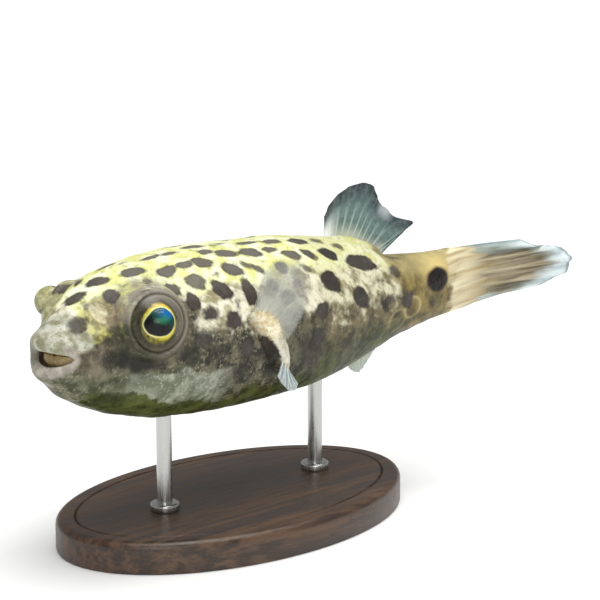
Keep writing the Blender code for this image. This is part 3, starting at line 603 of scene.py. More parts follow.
# %% Spots of the back and left side
# back, turn, length, breadth, tilt of its long axis in degrees (up going back), darkness, softness
SPOTS = (
    (7.2, 88, 3.7, 2.0, -35, 0.85, 0.20), (11.5, 84, 4.0, 2.5, -30, 0.9, 0.20),
    (16.8, 75.5, 4.7, 2.5, -10, 0.95, 0.18), (21.7, 63, 4.0, 2.3, 5, 0.95, 0.18),
    (10.4, 60, 2.7, 2.4, 20, 0.95, 0.20), (16.8, 59.5, 2.8, 1.3, 15, 0.75, 0.25),
    (13.4, 64, 1.2, 0.8, 0, 0.5, 0.30), (13.3, 53, 2.5, 1.2, 20, 0.5, 0.40),
    (20.2, 46, 3.2, 2.0, -35, 0.95, 0.20), (4.0, 59, 2.9, 2.8, 0, 0.75, 0.35),
    (6.9, 66, 1.1, 1.8, 0, 0.6, 0.35), (9.0, 128, 2.1, 1.5, 20, 0.85, 0.22),
    (12.0, 140, 2.4, 2.0, 0, 0.85, 0.22), (7.0, 119, 1.9, 1.3, 25, 0.85, 0.22),
    (11.0, 106, 3.2, 1.3, -25, 0.85, 0.22), (17.2, 103, 4.6, 1.6, -10, 0.85, 0.20),
    (12.5, 118, 2.5, 1.3, 0, 0.55, 0.35), (18.8, 94, 1.7, 0.8, 0, 0.6, 0.30),
    (23.3, 88, 3.6, 1.6, 0, 0.85, 0.20), (32.0, 87, 4.4, 1.9, 0, 0.9, 0.20),
    (35.5, 84, 1.4, 1.0, 0, 0.5, 0.35), (26.3, 85, 3.4, 1.4, 0, 0.8, 0.22),
    (31.8, 75.5, 2.9, 1.7, 0, 0.85, 0.20), (35.0, 70, 4.1, 2.4, -12, 0.95, 0.18),
    (25.6, 65.5, 3.6, 1.7, 5, 0.85, 0.20), (29.0, 63.8, 3.8, 2.6, -10, 0.95, 0.20),
    (33.3, 52, 4.1, 2.4, -22, 0.95, 0.18), (36.6, 53.5, 2.6, 1.2, -40, 0.8, 0.22),
    (38.6, 48.5, 2.9, 1.4, -45, 0.85, 0.22), (39.6, 66, 4.3, 2.5, -12, 0.95, 0.18),
    (41.5, 81, 4.1, 1.7, 0, 0.9, 0.20), (46.2, 78, 3.9, 1.9, -5, 0.9, 0.18),
    (43.6, 67, 3.0, 1.6, 0, 0.9, 0.20), (37.0, 88, 3.0, 1.0, 0, 0.6, 0.30),
    (46.9, 57, 3.7, 2.2, -25, 0.9, 0.20), (51.7, 76, 4.1, 2.4, 0, 0.95, 0.18),
    (55.5, 76, 2.6, 1.9, 0, 0.65, 0.35), (50.6, 56, 3.1, 1.8, -40, 0.95, 0.20),
    (55.3, 54.5, 4.3, 2.6, -22, 0.98, 0.18), (59.2, 67, 2.3, 1.7, 0, 0.65, 0.30),
    (62.4, 45, 7.3, 3.1, -3, 0.95, 0.18), (71.0, 41.5, 2.9, 2.3, 0, 0.7, 0.35),
    (72.3, 73, 3.0, 1.0, 0, 0.5, 0.40), (25.0, 47, 3.7, 2.7, -35, 0.8, 0.20),
    (29.3, 36.5, 3.9, 2.9, -40, 0.95, 0.18), (34.6, 30, 2.7, 4.7, 12, 0.95, 0.18),
    (22.8, 32.5, 2.5, 2.8, 0, 0.95, 0.18), (25.5, 20.5, 2.8, 2.2, 0, 0.85, 0.30),
    (30.1, 13.5, 3.3, 2.7, -30, 0.95, 0.22), (30.0, 50.5, 1.2, 0.7, 0, 0.6, 0.30),
    (31.6, 23.5, 0.8, 1.9, 0, 0.55, 0.35), (43.5, 47, 2.7, 2.3, 0, 0.85, 0.25),
    (45.0, 32, 1.9, 1.5, 0, 0.9, 0.25), (39.6, 33, 2.5, 2.1, 0, 0.75, 0.30),
    (42.2, 22.5, 3.1, 2.5, 0, 0.8, 0.30), (48.3, 43, 2.5, 1.3, -35, 0.7, 0.30),
    (52.7, 29, 4.7, 3.4, -20, 0.98, 0.20), (60.2, 12.5, 4.9, 3.4, -20, 0.98, 0.22),
    (49.4, 9.3, 3.2, 2.7, 0, 0.95, 0.22), (65.9, 26, 1.9, 0.7, 0, 0.6, 0.35),
    (68.2, 6, 4.5, 1.7, 0, 0.65, 0.45), (73.4, 2, 3.1, 2.8, 0, 0.9, 0.30),
    (23.3, 5, 3.4, 2.6, 0, 0.8, 0.40), (26.0, -1, 3.2, 1.6, 0, 0.6, 0.45),
    (32.5, -4.5, 2.7, 3.4, 0, 0.9, 0.30), (37.8, -5, 2.8, 3.3, 0, 0.95, 0.30),
    (48.2, -5.5, 3.1, 3.1, 0, 0.95, 0.30),
)
EYE_SPOT = (81.2, 15.5, 2.85, 2.1)  # back, turn, half length, half height of the one at the tail's root

RIDGE_TURN, BROW_BACK, BROW_TURN = 82, 24, 55  # spots on the ridge and the brow have no mirror image
DRIFT = np.array((1.3, 5, 0.15, 0.15))  # how far back, turn, length and breadth may stray

far_side = []
scatter = np.random.default_rng(29)
for back, turn, length, breadth, *rest in SPOTS:
    if turn < RIDGE_TURN and not (back < BROW_BACK and turn > BROW_TURN):
        shift = DRIFT * scatter.uniform(-1, 1, 4)
        far_side.append((
            back + shift[0], 180 - turn + shift[1], length * (1 + shift[2]), breadth * (1 + shift[3]), *rest))
print("spots", len(SPOTS), "and", len(far_side), "on the far side")

# %% Draw the spots as distances
FAR_OFF = -9.0

spot_edge, spot_depth = np.full(backs.shape, FAR_OFF), np.full(backs.shape, FAR_OFF)
spot_dark, halo, eye_spot = (np.zeros(backs.shape) for _ in range(3))
for back, turn, length, breadth, tilt, dark, soft in (*SPOTS, *far_side):
    level, raised, close = from_place(back, turn, 4.0)
    lean = math.radians(tilt)
    first = level * math.cos(lean) + raised * math.sin(lean)
    second = raised * math.cos(lean) - level * math.sin(lean)
    bearing = np.arctan2(second / breadth, first / length)
    outline = 1
    for lobes, depth, start in zip((2, 3, 5), (0.06, 0.06, 0.04), scatter.uniform(0, 2 * math.pi, 3)):
        outline = outline + depth * np.cos(lobes * bearing + start)
    reach = np.hypot(first / (length / 2), second / (breadth / 2)) / outline
    inside = np.where(close, (1 - reach) * min(length, breadth) / 2, FAR_OFF)
    nearer = inside / soft > spot_edge
    spot_edge = np.where(nearer, inside / soft, spot_edge)
    spot_depth = np.where(nearer, inside, spot_depth)
    spot_dark = np.where(nearer, 1 - (1 - dark) ** 2, spot_dark)
for turn in (EYE_SPOT[1], 180 - EYE_SPOT[1]):
    level, raised, close = from_place(EYE_SPOT[0], turn, 3)
    halo = np.maximum(halo, np.exp(-(((level - 0.6) / 4.2) ** 2 + ((raised - 1.6) / 2.9) ** 2)) * close)
    reach = np.hypot(level / EYE_SPOT[2], raised / EYE_SPOT[3]) + uneven(0.05, 1.2, 31)
    eye_spot = np.maximum(eye_spot, ease(1.18, 0.82, reach) * close)
masks |= {"spot_edge": np.clip(spot_edge, -9, 9), "spot_depth": np.clip(spot_depth, -3, 3),
          "spot_dark": spot_dark, "halo": halo, "eye_spot": eye_spot}
print("skin inside spots:", round(float((spot_edge > 0).mean()), 3))

# %% [markdown]
# ## The skin as a mesh
# A grid is added with as many faces as the sleeve has, its points are set on the sleeve, and
# its two long edges and its closed ends are merged.  Each mask becomes an attribute of the
# points, so the markings stay on the skin wherever it goes.

# %% Grid to skin
def vertex_places(piece):
    flat = np.empty(len(piece.data.vertices) * 3)
    piece.data.vertices.foreach_get("co", flat)
    return flat.reshape(-1, 3)


def add_masks(piece, values):
    for key, column in values.items():
        made = piece.data.attributes.new(key, "FLOAT", "POINT")
        made.data.foreach_set("value", np.ascontiguousarray(column, dtype=np.float32))


def grid_piece(name, points, attributes, merge=True):
    """A grid primitive whose points are set from an array of rows and columns, in mm."""
    deselect_all()
    rows, columns = points.shape[0] - 1, points.shape[1] - 1
    bpy.ops.mesh.primitive_grid_add(x_subdivisions=columns, y_subdivisions=rows, size=2.0, location=(0, 0, 0))
    piece = bpy.context.object
    piece.name = piece.data.name = name
    flat = vertex_places(piece)
    column = np.rint((flat[:, 0] + 1) / 2 * columns).astype(int)
    row = np.rint((flat[:, 1] + 1) / 2 * rows).astype(int)
    piece.data.vertices.foreach_set("co", (points[row, column] * MM).ravel())
    add_masks(piece, {key: values[row, column] for key, values in attributes.items()})
    piece.data.update()
    bpy.ops.object.mode_set(mode="EDIT")
    bpy.ops.mesh.select_all(action="SELECT")
    if merge:
        bpy.ops.mesh.remove_doubles(threshold=0.002 * MM)
    bpy.ops.mesh.normals_make_consistent(inside=False)
    bpy.ops.object.mode_set(mode="OBJECT")
    bpy.ops.object.shade_smooth()
    return piece


closed = skin_points.copy()
closed[:, -1] = closed[:, 0]
for end in (0, -1):
    closed[end] = closed[end].mean(axis=0)
for values in masks.values():
    values[:, -1] = values[:, 0]
skin = grid_piece("skin", closed, masks)
print("skin triangles", sum(len(p.vertices) - 2 for p in skin.data.polygons))

# %% [markdown]
# ## The skin's finish
# A shader mixes one colour after another over the ground colour, each held by its mask.
# Noise is added to a mask before it is cut to an edge, which breaks the borders up into the
# fine grain of real pigment cells.  All patterns lie in the model's own space.

# %% Helpers for shader nodes
def linear(red, green, blue):
    """A colour given as 0 to 255 screen values, for a shader socket."""
    share = [value / 255 for value in (red, green, blue)]
    return (*(v / 12.92 if v <= 0.04045 else ((v + 0.055) / 1.055) ** 2.4 for v in share), 1.0)


class Finish:
    """Builds one material's nodes; most methods return the socket they made.

    A value may be a number, a socket or the name of a mask, and a colour may be a socket or
    three screen values.
    """

    def __init__(self, name):
        self.material = bpy.data.materials.new(name)
        self.material.use_nodes = True
        self.tree = self.material.node_tree
        self.shader = self.tree.nodes["Principled BSDF"]
        self.place = self.node("TexCoord").outputs["Object"]

    def node(self, kind, **settings):
        made = self.tree.nodes.new("ShaderNode" + kind)
        for key, value in settings.items():
            setattr(made, key, value)
        return made

    def plug(self, socket, value):
        if isinstance(value, str):
            value = self.node("Attribute", attribute_name=value).outputs["Fac"]
        if isinstance(value, tuple):
            value = linear(*value)
        if isinstance(value, bpy.types.NodeSocket):
            self.tree.links.new(value, socket)
        else:
            socket.default_value = value

    def sum(self, first, second, operation="ADD"):
        made = self.node("Math", operation=operation)
        self.plug(made.inputs[0], first)
        self.plug(made.inputs[1], second)
        return made.outputs[0]

    def times(self, first, second):
        return self.sum(first, second, "MULTIPLY")

    def between(self, value, low, high, to_low=0.0, to_high=1.0):
        """The value's share of the way from low to high, as a smooth step."""
        made = self.node("MapRange", interpolation_type="SMOOTHSTEP")
        for socket, part in zip(made.inputs, (value, low, high, to_low, to_high)):
            self.plug(socket, part)
        return made.outputs[0]

    def noise(self, size, detail=3.0, rough=0.55, stretch=None, lean=0.0):
        """Noise with lumps of about this size in mm, drawn out along an axis that leans at will."""
        made = self.node("TexNoise")
        for key, value in (("Scale", 1 / (size * MM)), ("Detail", detail), ("Roughness", rough)):
            made.inputs[key].default_value = value
        place = self.place
        if stretch:
            place = self.mapped("Rotation", (math.radians(lean), 0.0, 0.0), place)
            place = self.mapped("Scale", stretch, place)
        self.plug(made.inputs["Vector"], place)
        return made.outputs["Fac"]

    def mapped(self, setting, value, place):
        made = self.node("Mapping")
        made.inputs[setting].default_value = value
        self.plug(made.inputs["Vector"], place)
        return made.outputs["Vector"]

    def grains(self, size, seed):
        """Distance from scattered points this many millimetres apart, 0 at each point."""
        made = self.node("TexVoronoi")
        made.inputs["Scale"].default_value = 1 / (size * MM)
        self.plug(made.inputs["Vector"], self.mapped("Location", (seed, seed, seed), self.place))
        return made.outputs["Distance"]

    def ragged(self, value, size, gain, *shape):
        """The value with noise added, so that an edge cut from it is broken up."""
        return self.sum(value, self.times(self.sum(self.noise(size, *shape), -0.5), gain))

    def mix(self, share, below, above):
        made = self.node("Mix", data_type="RGBA")
        for number, part in ((0, share), (6, below), (7, above)):
            self.plug(made.inputs[number], part)
        return made.outputs[2]

    def layered(self, below, *layers):
        """Colours laid one after another over the first.

        A layer is a value and a colour, with up to three numbers between them: two that cut
        the value to a soft step from the first to the second, and how much is laid on at most.
        """
        for value, *numbers, colour in layers:
            if len(numbers) > 1:
                low, high, most = (*numbers, 1.0)[:3]
                value = self.between(value, low, high, 0.0, most)
            elif numbers:
                value = self.times(value, numbers[0])
            below = self.mix(value, below, colour)
        return below

    def tail_paint(self):
        """Pale streaks at the tail's root that turn brown further back, the same on skin and fin."""
        along = self.noise(1.9, 2.0, 0.5, (0.35, 0.08, 1.0), -4.0)
        fine = self.noise(0.8, 2.0, 0.5, (0.35, 0.04, 1.0), -4.0)
        pale = self.layered((168, 148, 106), (along, 0.34, 0.60, (238, 227, 190)))
        brown = self.layered((108, 95, 69), (fine, 0.36, 0.64, (166, 154, 127)))
        place = self.sum("station", self.times(self.sum(along, -0.5), 26.0))
        return self.layered(pale, (place, 88.5, 97.0, brown))

    def bump(self, height, depth, below=None):
        """Turns a 0 to 1 height into relief this many millimetres deep."""
        made = self.node("Bump")
        made.inputs["Distance"].default_value = depth * MM
        made.inputs["Strength"].default_value = 1.0
        self.plug(made.inputs["Height"], height)
        if below is not None:
            self.plug(made.inputs["Normal"], below)
        return made.outputs["Normal"]

    def put_on(self, pieces, colour, relief, roughness, specular=None):
        """Plugs the finished sockets into the shader and gives the pieces the material."""
        for key, value in (("Base Color", colour), ("Normal", relief), ("Roughness", roughness)):
            self.plug(self.shader.inputs[key], value)
        if specular is not None:
            self.shader.inputs["Specular IOR Level"].default_value = specular
        for piece in pieces:
            piece.data.materials.append(self.material)


print("a mid grey in linear light:", round(linear(128, 128, 128)[0], 3))

# %% Ground colours
hide = Finish("puffer skin")
coarse, blotch = hide.noise(3.0), hide.noise(1.8, 4.0, 0.6)
fine, finest = hide.noise(1.1, 4.0), hide.noise(0.45)
sloped = hide.noise(1.7, 3.0, 0.55, (1.0, 0.55, 1.0), 38.0)
patchy = hide.sum(blotch, hide.times(hide.sum(fine, -0.5), 0.6))
granule = hide.between(hide.ragged(finest, 2.4, 0.35, 2.0), 0.56, 0.64)
speckles = hide.times(granule, hide.between("station", 36.0, 43.0, 0.4, 0.14))
pin = hide.between(hide.grains(0.6, 0.31), 0.26, 0.12)

cream_rear = hide.layered(
    (118, 109, 78), (sloped, 0.33, 0.57, (222, 217, 186)), (fine, 0.54, 0.68, 0.55, (158, 148, 104)))
cream = hide.layered(
    (150, 142, 108), (sloped, 0.36, 0.60, (240, 236, 214)), (fine, 0.52, 0.70, 0.5, (172, 166, 118)),
    ("rear", cream_rear))
yellow = hide.layered(
    (222, 223, 140), (coarse, 0.36, 0.66, (246, 249, 216)), (fine, 0.52, 0.72, 0.8, (170, 170, 104)),
    ("rear", 0.45, (192, 188, 146)))
# The lower rear flank is painted darker and greener: painted shade.
shaded_low_rear = hide.layered((46, 48, 24), (sloped, 0.34, 0.66, (94, 93, 56)))
brown_rear = hide.layered((70, 61, 39), (sloped, 0.34, 0.66, (132, 119, 88)), ("low", shaded_low_rear))
brown = hide.layered(
    (47, 44, 35), (blotch, 0.38, 0.62, (106, 101, 81)), (speckles, (178, 170, 142)),
    ("rear", brown_rear))
band = hide.layered(
    (110, 116, 95), (coarse, 0.36, 0.66, (166, 170, 151)), (granule, 0.4, (200, 202, 188)))
# Painted shade under the belly: dark olive, with a painted green reflection.
underside_shade = hide.layered((46, 52, 18), (coarse, 0.34, 0.70, (90, 96, 50)), (pin, 0.7, (30, 34, 16)))
stalk = hide.layered(
    (78, 66, 32), (hide.noise(2.4), 0.30, 0.70, (150, 133, 80)), (finest, 0.5, 0.7, 0.3, (98, 84, 52)),
    ("above", 0.42, (190, 178, 130)))
jaw = hide.layered((68, 73, 50), (blotch, 0.38, 0.64, (112, 115, 92)))
cheek = hide.layered(
    (56, 52, 42), (blotch, 0.38, 0.64, (108, 100, 80)), ("low", 0.8, jaw),
    (granule, 0.35, (168, 162, 136)))
snout = hide.layered(
    (136, 134, 108), (patchy, 0.34, 0.64, (194, 195, 180)), (finest, 0.54, 0.66, 0.7, (122, 120, 78)))
brow = hide.layered((120, 112, 70), (patchy, 0.36, 0.62, (204, 200, 118)))
muzzle = hide.layered(
    (84, 75, 62), (blotch, 0.36, 0.66, (138, 128, 108)),
    (hide.noise(0.7), 0.5, 0.7, 0.4, (84, 78, 62)))
lip = hide.layered(
    (148, 140, 128), (fine, 0.35, 0.68, (186, 180, 168)), (finest, 0.5, 0.75, 0.35, (122, 114, 98)))
arm_end = hide.layered((190, 184, 160), (fine, 0.4, 0.6, (224, 222, 204)))
arm = hide.layered(
    (216, 196, 150), (fine, 0.36, 0.62, (250, 244, 214)), (finest, 0.58, 0.70, 0.5, (166, 124, 92)),
    ("arm_foot", arm_end))
# The skin round the eye is lighter on its upper side: painted highlight.
around = hide.layered(
    (100, 94, 80), ("above", (142, 137, 122)), ("ahead", (62, 64, 48)),
    (fine, 0.55, 0.7, 0.35, (140, 136, 108)))
moss = hide.layered((150, 148, 104), (fine, 0.40, 0.62, (192, 190, 152)))
foot = hide.layered((96, 82, 62), (fine, 0.4, 0.65, (150, 136, 112)))
lobe = hide.layered((190, 180, 146), (fine, 0.38, 0.62, (222, 218, 186)))
print("ground colours ready")

# %% Spot colours
# Spots under the painted sheen on the back are lighter grey; elsewhere they stay dark.
spot_middle = hide.layered((68, 62, 57), ("painted_sheen", (106, 101, 92)))
spot_rim = hide.layered((42, 36, 31), ("painted_sheen", (66, 62, 53)))
spot_ground = hide.layered(
    spot_rim, ("spot_depth", -0.1, 0.5, spot_middle), (fine, 0.45, 0.75, 0.4, (96, 92, 86)),
    ("spot_dark", 0.9985, 0.9994, 0.4, (38, 34, 31)))
spot_shape = hide.between(hide.ragged("spot_edge", 0.8, 3.8, 4.0, 0.6), -1.25, 1.25)
eye_spot_ground = hide.layered((20, 16, 14), (fine, 0.4, 0.7, (44, 36, 32)))
print("spot colours ready")

# %% Lay the colours over each other
def broken(name, size, gain, ground):
    """A layer whose border is broken up by noise."""
    return hide.ragged(name, size, gain), 0.25, 0.75, ground


orbit = hide.times("orbit", hide.between(hide.noise(1.6), 0.3, 0.65, 0.5, 1.15))
colour = hide.layered(
    cream,
    broken("yellow", 1.4, 1.0, yellow),
    broken("brown", 1.2, 1.1, brown),
    broken("stalk", 2.0, 0.8, stalk),
    ("halo", 0.85, (228, 206, 138)),
    ("loop", 0.7, (206, 188, 134)),
    ("loop_middle", 0.6, (98, 82, 44)),
    broken("cheek", 1.4, 1.0, cheek),
    (hide.ragged("brow", 1.3, 0.9), 0.15, 0.85, 0.85, brow),
    (hide.ragged("band", 1.4, 1.1, 4.0), 0.05, 0.95, band),
    # The underside's painted shade and green reflection.
    broken("underside_shade", 1.6, 1.6, underside_shade),
    (orbit, 0.0, 0.95, around),
    ("knob", moss),
    (hide.ragged("muzzle", 1.4, 0.6), 0.1, 0.9, 0.9, muzzle),
    (hide.ragged("snout", 1.2, 1.0, 4.0), 0.05, 1.0, snout),
    ("foot", 0.75, foot),
    (hide.ragged("lip", 1.2, 0.7), 0.1, 0.95, lip),
    # Painted shade on the right side of the snout.
    ("far_snout_shade", 0.6, (92, 96, 80)),
    (hide.ragged("root", 1.3, 1.6, 3.0, 0.6, (0.35, 0.12, 1.0)), 0.2, 0.8, hide.tail_paint()),
    (hide.times(spot_shape, "spot_dark"), spot_ground),
    ("eye_spot", eye_spot_ground),
    # Dark clouds: the fish's own mottling, and painted shade below the eye and round the pectoral fin.
    (hide.ragged("cloud_and_shade", 1.6, 0.7), 0.1, 0.8, 0.92, (38, 37, 31)),
    broken("arm", 1.0, 1.1, arm),
    ("nostril", 0.9, lobe),
    # Painted shade in the gill slit.
    ("slit_shade", 0.45, (50, 38, 26)),
    ("rim", 0.6, (164, 154, 144)),
    ("inside", (66, 52, 40)),
)
relief = hide.bump(hide.noise(0.35, 2.0), 0.05)
relief = hide.bump(hide.between(hide.grains(0.55, 0.7), 0.45, 0.1), 0.035, relief)
relief = hide.bump(hide.noise(1.6), 0.12, relief)
hide.put_on([skin], colour, relief, hide.between(hide.noise(1.4), 0.3, 0.7, 0.34, 0.55), 0.22)
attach(skin, "root")
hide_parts("head", "trunk", "tail_stalk", "lip_upper", "lip_lower")
print("skin finish has", len(hide.tree.nodes), "nodes")

# %% [markdown]
# ## Eyes
# A puffer's eye is a flattened ball mostly covered by grey skin, with a clear dome over a
# golden iris and a green-black pupil, partly iridescent teal, with a painted blue reflection
# and a painted teal highlight on it.  Each eye is a sphere whose points are moved out to a
# blend of the flat ball and the dome.  The iris and the pupil are drawn with attributes
# measured across the line of sight, and a separate clear cornea stands over them.

# %% Eye shapes
LEFT_GAZE, RIGHT_GAZE = (11.0, 21.0), (18.0, -22.0)  # degrees each eye looks up, and ahead of straight out
DOME_SOFTNESS, EYE_INSET = 0.35, 0.08
CORNEA_REACH, CORNEA_SWELL, CORNEA_INSET = 3.75, 0.5, 0.12


def eye_reach(ways, look, gaze, radius, offset):
    """Distance from the ball's middle to its surface in each direction."""
    forward = ways @ look
    flat = 1 / np.sqrt((1 - forward**2) / EYE_RADIUS**2 + forward**2 / EYE_DEPTH**2)
    toward = ways @ gaze
    under = radius**2 - offset**2 * (1 - toward**2)
    dome = np.where(under > 0, offset * toward + np.sqrt(np.maximum(under, 0)), 0)
    return 0.5 * (flat + dome + np.sqrt((flat - dome) ** 2 + DOME_SOFTNESS**2)) - EYE_INSET


def eye_piece(name, way, cornea=False):
    deselect_all()
    bpy.ops.mesh.primitive_uv_sphere_add(segments=192, ring_count=128, radius=1.0, location=(0, 0, 0))
    piece = bpy.context.object
    piece.name = piece.data.name = name
    ways = vertex_places(piece)
    ways = ways / np.linalg.norm(ways, axis=1)[:, None]
    middle, look = eye_frame(way)
    gaze = eye_look(way, *(LEFT_GAZE if way > 0 else RIGHT_GAZE))
    across = np.cross((0.0, 0.0, 1.0), gaze)
    across /= np.linalg.norm(across)
    over = np.cross(gaze, across)
    turned = ways[:, :1] * across + ways[:, 1:2] * over + ways[:, 2:] * gaze
    radius, offset, dome_up = LEFT_DOME if way > 0 else RIGHT_DOME
    reach = eye_reach(turned, look, eye_look(way, dome_up), radius, offset)
    if cornea:
        sideways = np.hypot(ways[:, 0], ways[:, 1]) * reach
        swell = CORNEA_SWELL * np.sqrt(np.maximum(1 - (sideways / CORNEA_REACH) ** 2, 0))
        reach = reach + np.where(ways[:, 2] > 0, swell - CORNEA_INSET, -CORNEA_INSET)
    points = middle - look * EYE_SUNK + turned * reach[:, None]
    piece.data.vertices.foreach_set("co", (points * MM).ravel())
    fore = -(turned * reach[:, None]) @ across * way
    up = (turned * reach[:, None]) @ over
    knob = np.full(len(ways), float(way < 0))
    add_masks(piece, {"fore": fore, "up": up, "front": ways[:, 2], "knob": knob})
    piece.data.update()
    bpy.ops.object.shade_smooth()
    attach(piece, "root")
    return piece


eyes = {way: eye_piece(f"eye_ball_{word}", way) for way, word in ((1, "left"), (-1, "right"))}
corneas = {way: eye_piece(f"eye_cornea_{word}", way, True) for way, word in ((1, "left"), (-1, "right"))}
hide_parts("eye_left")
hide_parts("eye_right")
print("eyes at", [eye_frame(way)[0].round(1).tolist() for way in (1, -1)])

# %% Iris and pupil outlines
ball = Finish("eye")


def oval(fore_middle, up_middle, half_fore, half_up, power=2.0):
    """0 at an oval's middle, 1 on its outline, measured across the line of sight."""
    parts = []
    for name, middle, half in (("fore", fore_middle, half_fore), ("up", up_middle, half_up)):
        away = ball.times(ball.sum(name, -middle), 1 / half)
        parts.append(ball.sum(ball.sum(away, 0, "ABSOLUTE"), power, "POWER"))
    return ball.sum(ball.sum(*parts), 1 / power, "POWER")


# Pupil and iris are both flattened where they face up and forward.
cut = ball.sum(ball.times(ball.sum("fore", -0.62), 0.676), ball.times(ball.sum("up", -0.18), 0.737))
iris_reach = ball.sum(oval(0.58, -0.02, 2.66, 3.08), ball.times(cut, 1 / 2.55), "SMOOTH_MAX")
pupil_reach = ball.sum(oval(0.62, 0.18, 2.20, 2.06, 2.1), ball.times(cut, 1 / 1.86), "SMOOTH_MAX")
print("outlines take", len(ball.tree.nodes), "nodes")

# %% Eye finish
ball_grain = ball.noise(0.5)
moss = ball.layered((146, 144, 98), (ball.noise(1.1), 0.40, 0.62, (188, 186, 146)))
ring = ball.layered(
    (88, 82, 64),
    ("up", -3.4, -0.6, (136, 130, 114)),
    ("up", 0.6, 3.6, (136, 130, 122)),
    ("fore", 0.6, 3.2, (60, 58, 42)),
    (ball_grain, 0.4, 0.7, 0.35, (112, 108, 90)),
    ("knob", moss),
    (iris_reach, 1.28, 1.0, 0.7, (50, 46, 24)),
)
gold = ball.layered(
    (240, 226, 46),
    ("up", 1.6, 3.0, (222, 182, 96)),
    ("up", -1.9, -3.0, (92, 82, 10)),
    (ball.sum("fore", ball.times("up", -0.8)), 2.2, 3.4, (84, 78, 16)),
    ("fore", 2.2, 3.3, (136, 126, 60)),
    ("fore", -1.2, -2.7, (150, 140, 40)),
    (ball_grain, 0.42, 0.7, 0.4, (250, 238, 130)),
    (ball.ragged(iris_reach, 0.7, 0.45, 4.0), 0.84, 1.04, 0.75, (112, 102, 28)),
)
slant = ball.ragged(ball.sum("up", ball.times("fore", -0.55)), 0.9, 1.2)
# Pupil: black turning teal upwards, partly its own iridescence, with a painted blue sky reflection at the top
# and a painted teal highlight in the middle.
dark = ball.layered(
    (3, 4, 5),
    (slant, -0.7, 1.0, (8, 72, 62)),
    (oval(-0.55, 1.25, 1.5, 1.0), 1.25, 0.1, (14, 104, 178)),
    (ball.ragged(oval(0.25, 0.45, 1.4, 0.8), 0.8, 1.0), 1.2, 0.1, 0.75, (60, 146, 110)),
)
eye_colour = ball.layered(
    ring,
    (ball.ragged(iris_reach, 0.6, 0.12), 1.04, 0.94, gold),
    (pupil_reach, 1.14, 1.05, (238, 232, 160)),
    (ball.ragged(pupil_reach, 1.6, 0.14, 2.0), 1.04, 0.98, dark),
    ("front", 0.1, -0.1, ring),
)
ball.put_on(eyes.values(), eye_colour, ball.bump(ball.noise(0.4), 0.006), 0.35, 0.2)
print("eye finish has", len(ball.tree.nodes), "nodes")

# %% Clear cornea
clear = Finish("cornea")
glass, shine = clear.node("BsdfTransparent"), clear.node("BsdfGlossy")
share, blend = clear.node("Fresnel"), clear.node("MixShader")
shine.inputs["Roughness"].default_value = 0.04
share.inputs["IOR"].default_value = 1.24
for number, source in enumerate((share, glass, shine)):
    clear.plug(blend.inputs[number], source.outputs[0])
clear.plug(clear.tree.nodes["Material Output"].inputs["Surface"], blend.outputs[0])
for cornea in corneas.values():
    cornea.data.materials.append(clear.material)
print("cornea over", len(corneas), "eyes")

# %% [markdown]
# ## Beak
# The four teeth of a puffer are fused into a beak: two plates above and two below, each pair
# meeting in a fine line in the middle.  A plate is a strip of grid bent round the mouth; its
# points thicken it towards the gum, and the middle line is a notch pressed into its front.

# %% Beak plates
BEAK_MIDDLE, BEAK_RADIUS, BEAK_THICKNESS, BEAK_SWING = 5.3, 3.7, 0.75, 82.0
UPPER_BEAK, LOWER_BEAK = (1.0, -0.44), (-2.6, -0.50)  # root and cutting edge heights
PLATE_SQUARENESS, MOUTH_SQUARENESS = 0.55, 0.86  # exponents of sine and cosine; 1 is round


def squared(values, exponent):
    return np.sign(values) * np.abs(values) ** exponent


def beak_plate(name, root, edge, replaced):
    swings = np.radians(np.linspace(-BEAK_SWING, BEAK_SWING, 97))[:, None]
    ring_turn = np.linspace(0, 2 * math.pi, 41)[None, :]
    middle, half = (root + edge) / 2, (edge - root) / 2
    over = squared(np.sin(ring_turn), PLATE_SQUARENESS)
    thick = squared(np.cos(ring_turn), PLATE_SQUARENESS)
    height = middle + half * over - 0.10 * np.sign(half) * hump(swings, 0.0, 0.05) * (over > 0.5)
    wall = BEAK_THICKNESS / 2 * (0.85 - 0.35 * over)
    notch = 0.12 * hump(swings, 0.0, 0.045) * (thick > 0)
    reach = BEAK_RADIUS - BEAK_THICKNESS / 2 + thick * wall - notch
    close = np.sqrt(np.clip((math.radians(BEAK_SWING) - np.abs(swings)) / 0.08, 0, 1))
    reach = (BEAK_RADIUS - BEAK_THICKNESS / 2) * (1 - close) + reach * close
    height = middle * (1 - close) + height * close
    fore, aside = squared(np.cos(swings), MOUTH_SQUARENESS), squared(np.sin(swings), MOUTH_SQUARENESS)
    points = in_space(BEAK_MIDDLE - reach * fore, GAPE_SHIFT + reach * aside, height)
    points[:, -1] = points[:, 0]
    seam = hump(swings, 0.0, 0.035) + 0 * reach
    piece = grid_piece(name, points, {"seam": seam, "edge": (over + 1) / 2 + 0 * reach})
    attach(piece, "root")
    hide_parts(replaced)
    return piece


plates = [beak_plate("beak_plate_upper", *UPPER_BEAK, "beak_upper"),
          beak_plate("beak_plate_lower", *LOWER_BEAK, "beak_lower")]
enamel = Finish("beak enamel")
# The plates turn darker brown towards the gum: painted shade under the lips.
tooth = enamel.layered(
    (140, 118, 74), (enamel.noise(0.8), 0.35, 0.7, (172, 150, 106)), ("edge", 0.3, 0.0, (104, 74, 36)),
    ("seam", 0.35, (66, 46, 26)))
enamel.put_on(plates, tooth, enamel.bump(enamel.noise(0.3, 2.0), 0.015), 0.32)
print("beak plates", len(plates))

# %% [markdown]
# ## Fins
# A fin is a fan of bony rays with thin clear web between them.  Each fin is a grid: its
# columns run along the rays and are read smoothly between them.  Rays are thicker than the
# web and part in two towards the edge, the web's edge is scalloped between them, and a
# Solidify modifier gives the sheet its thickness from the same ray pattern.

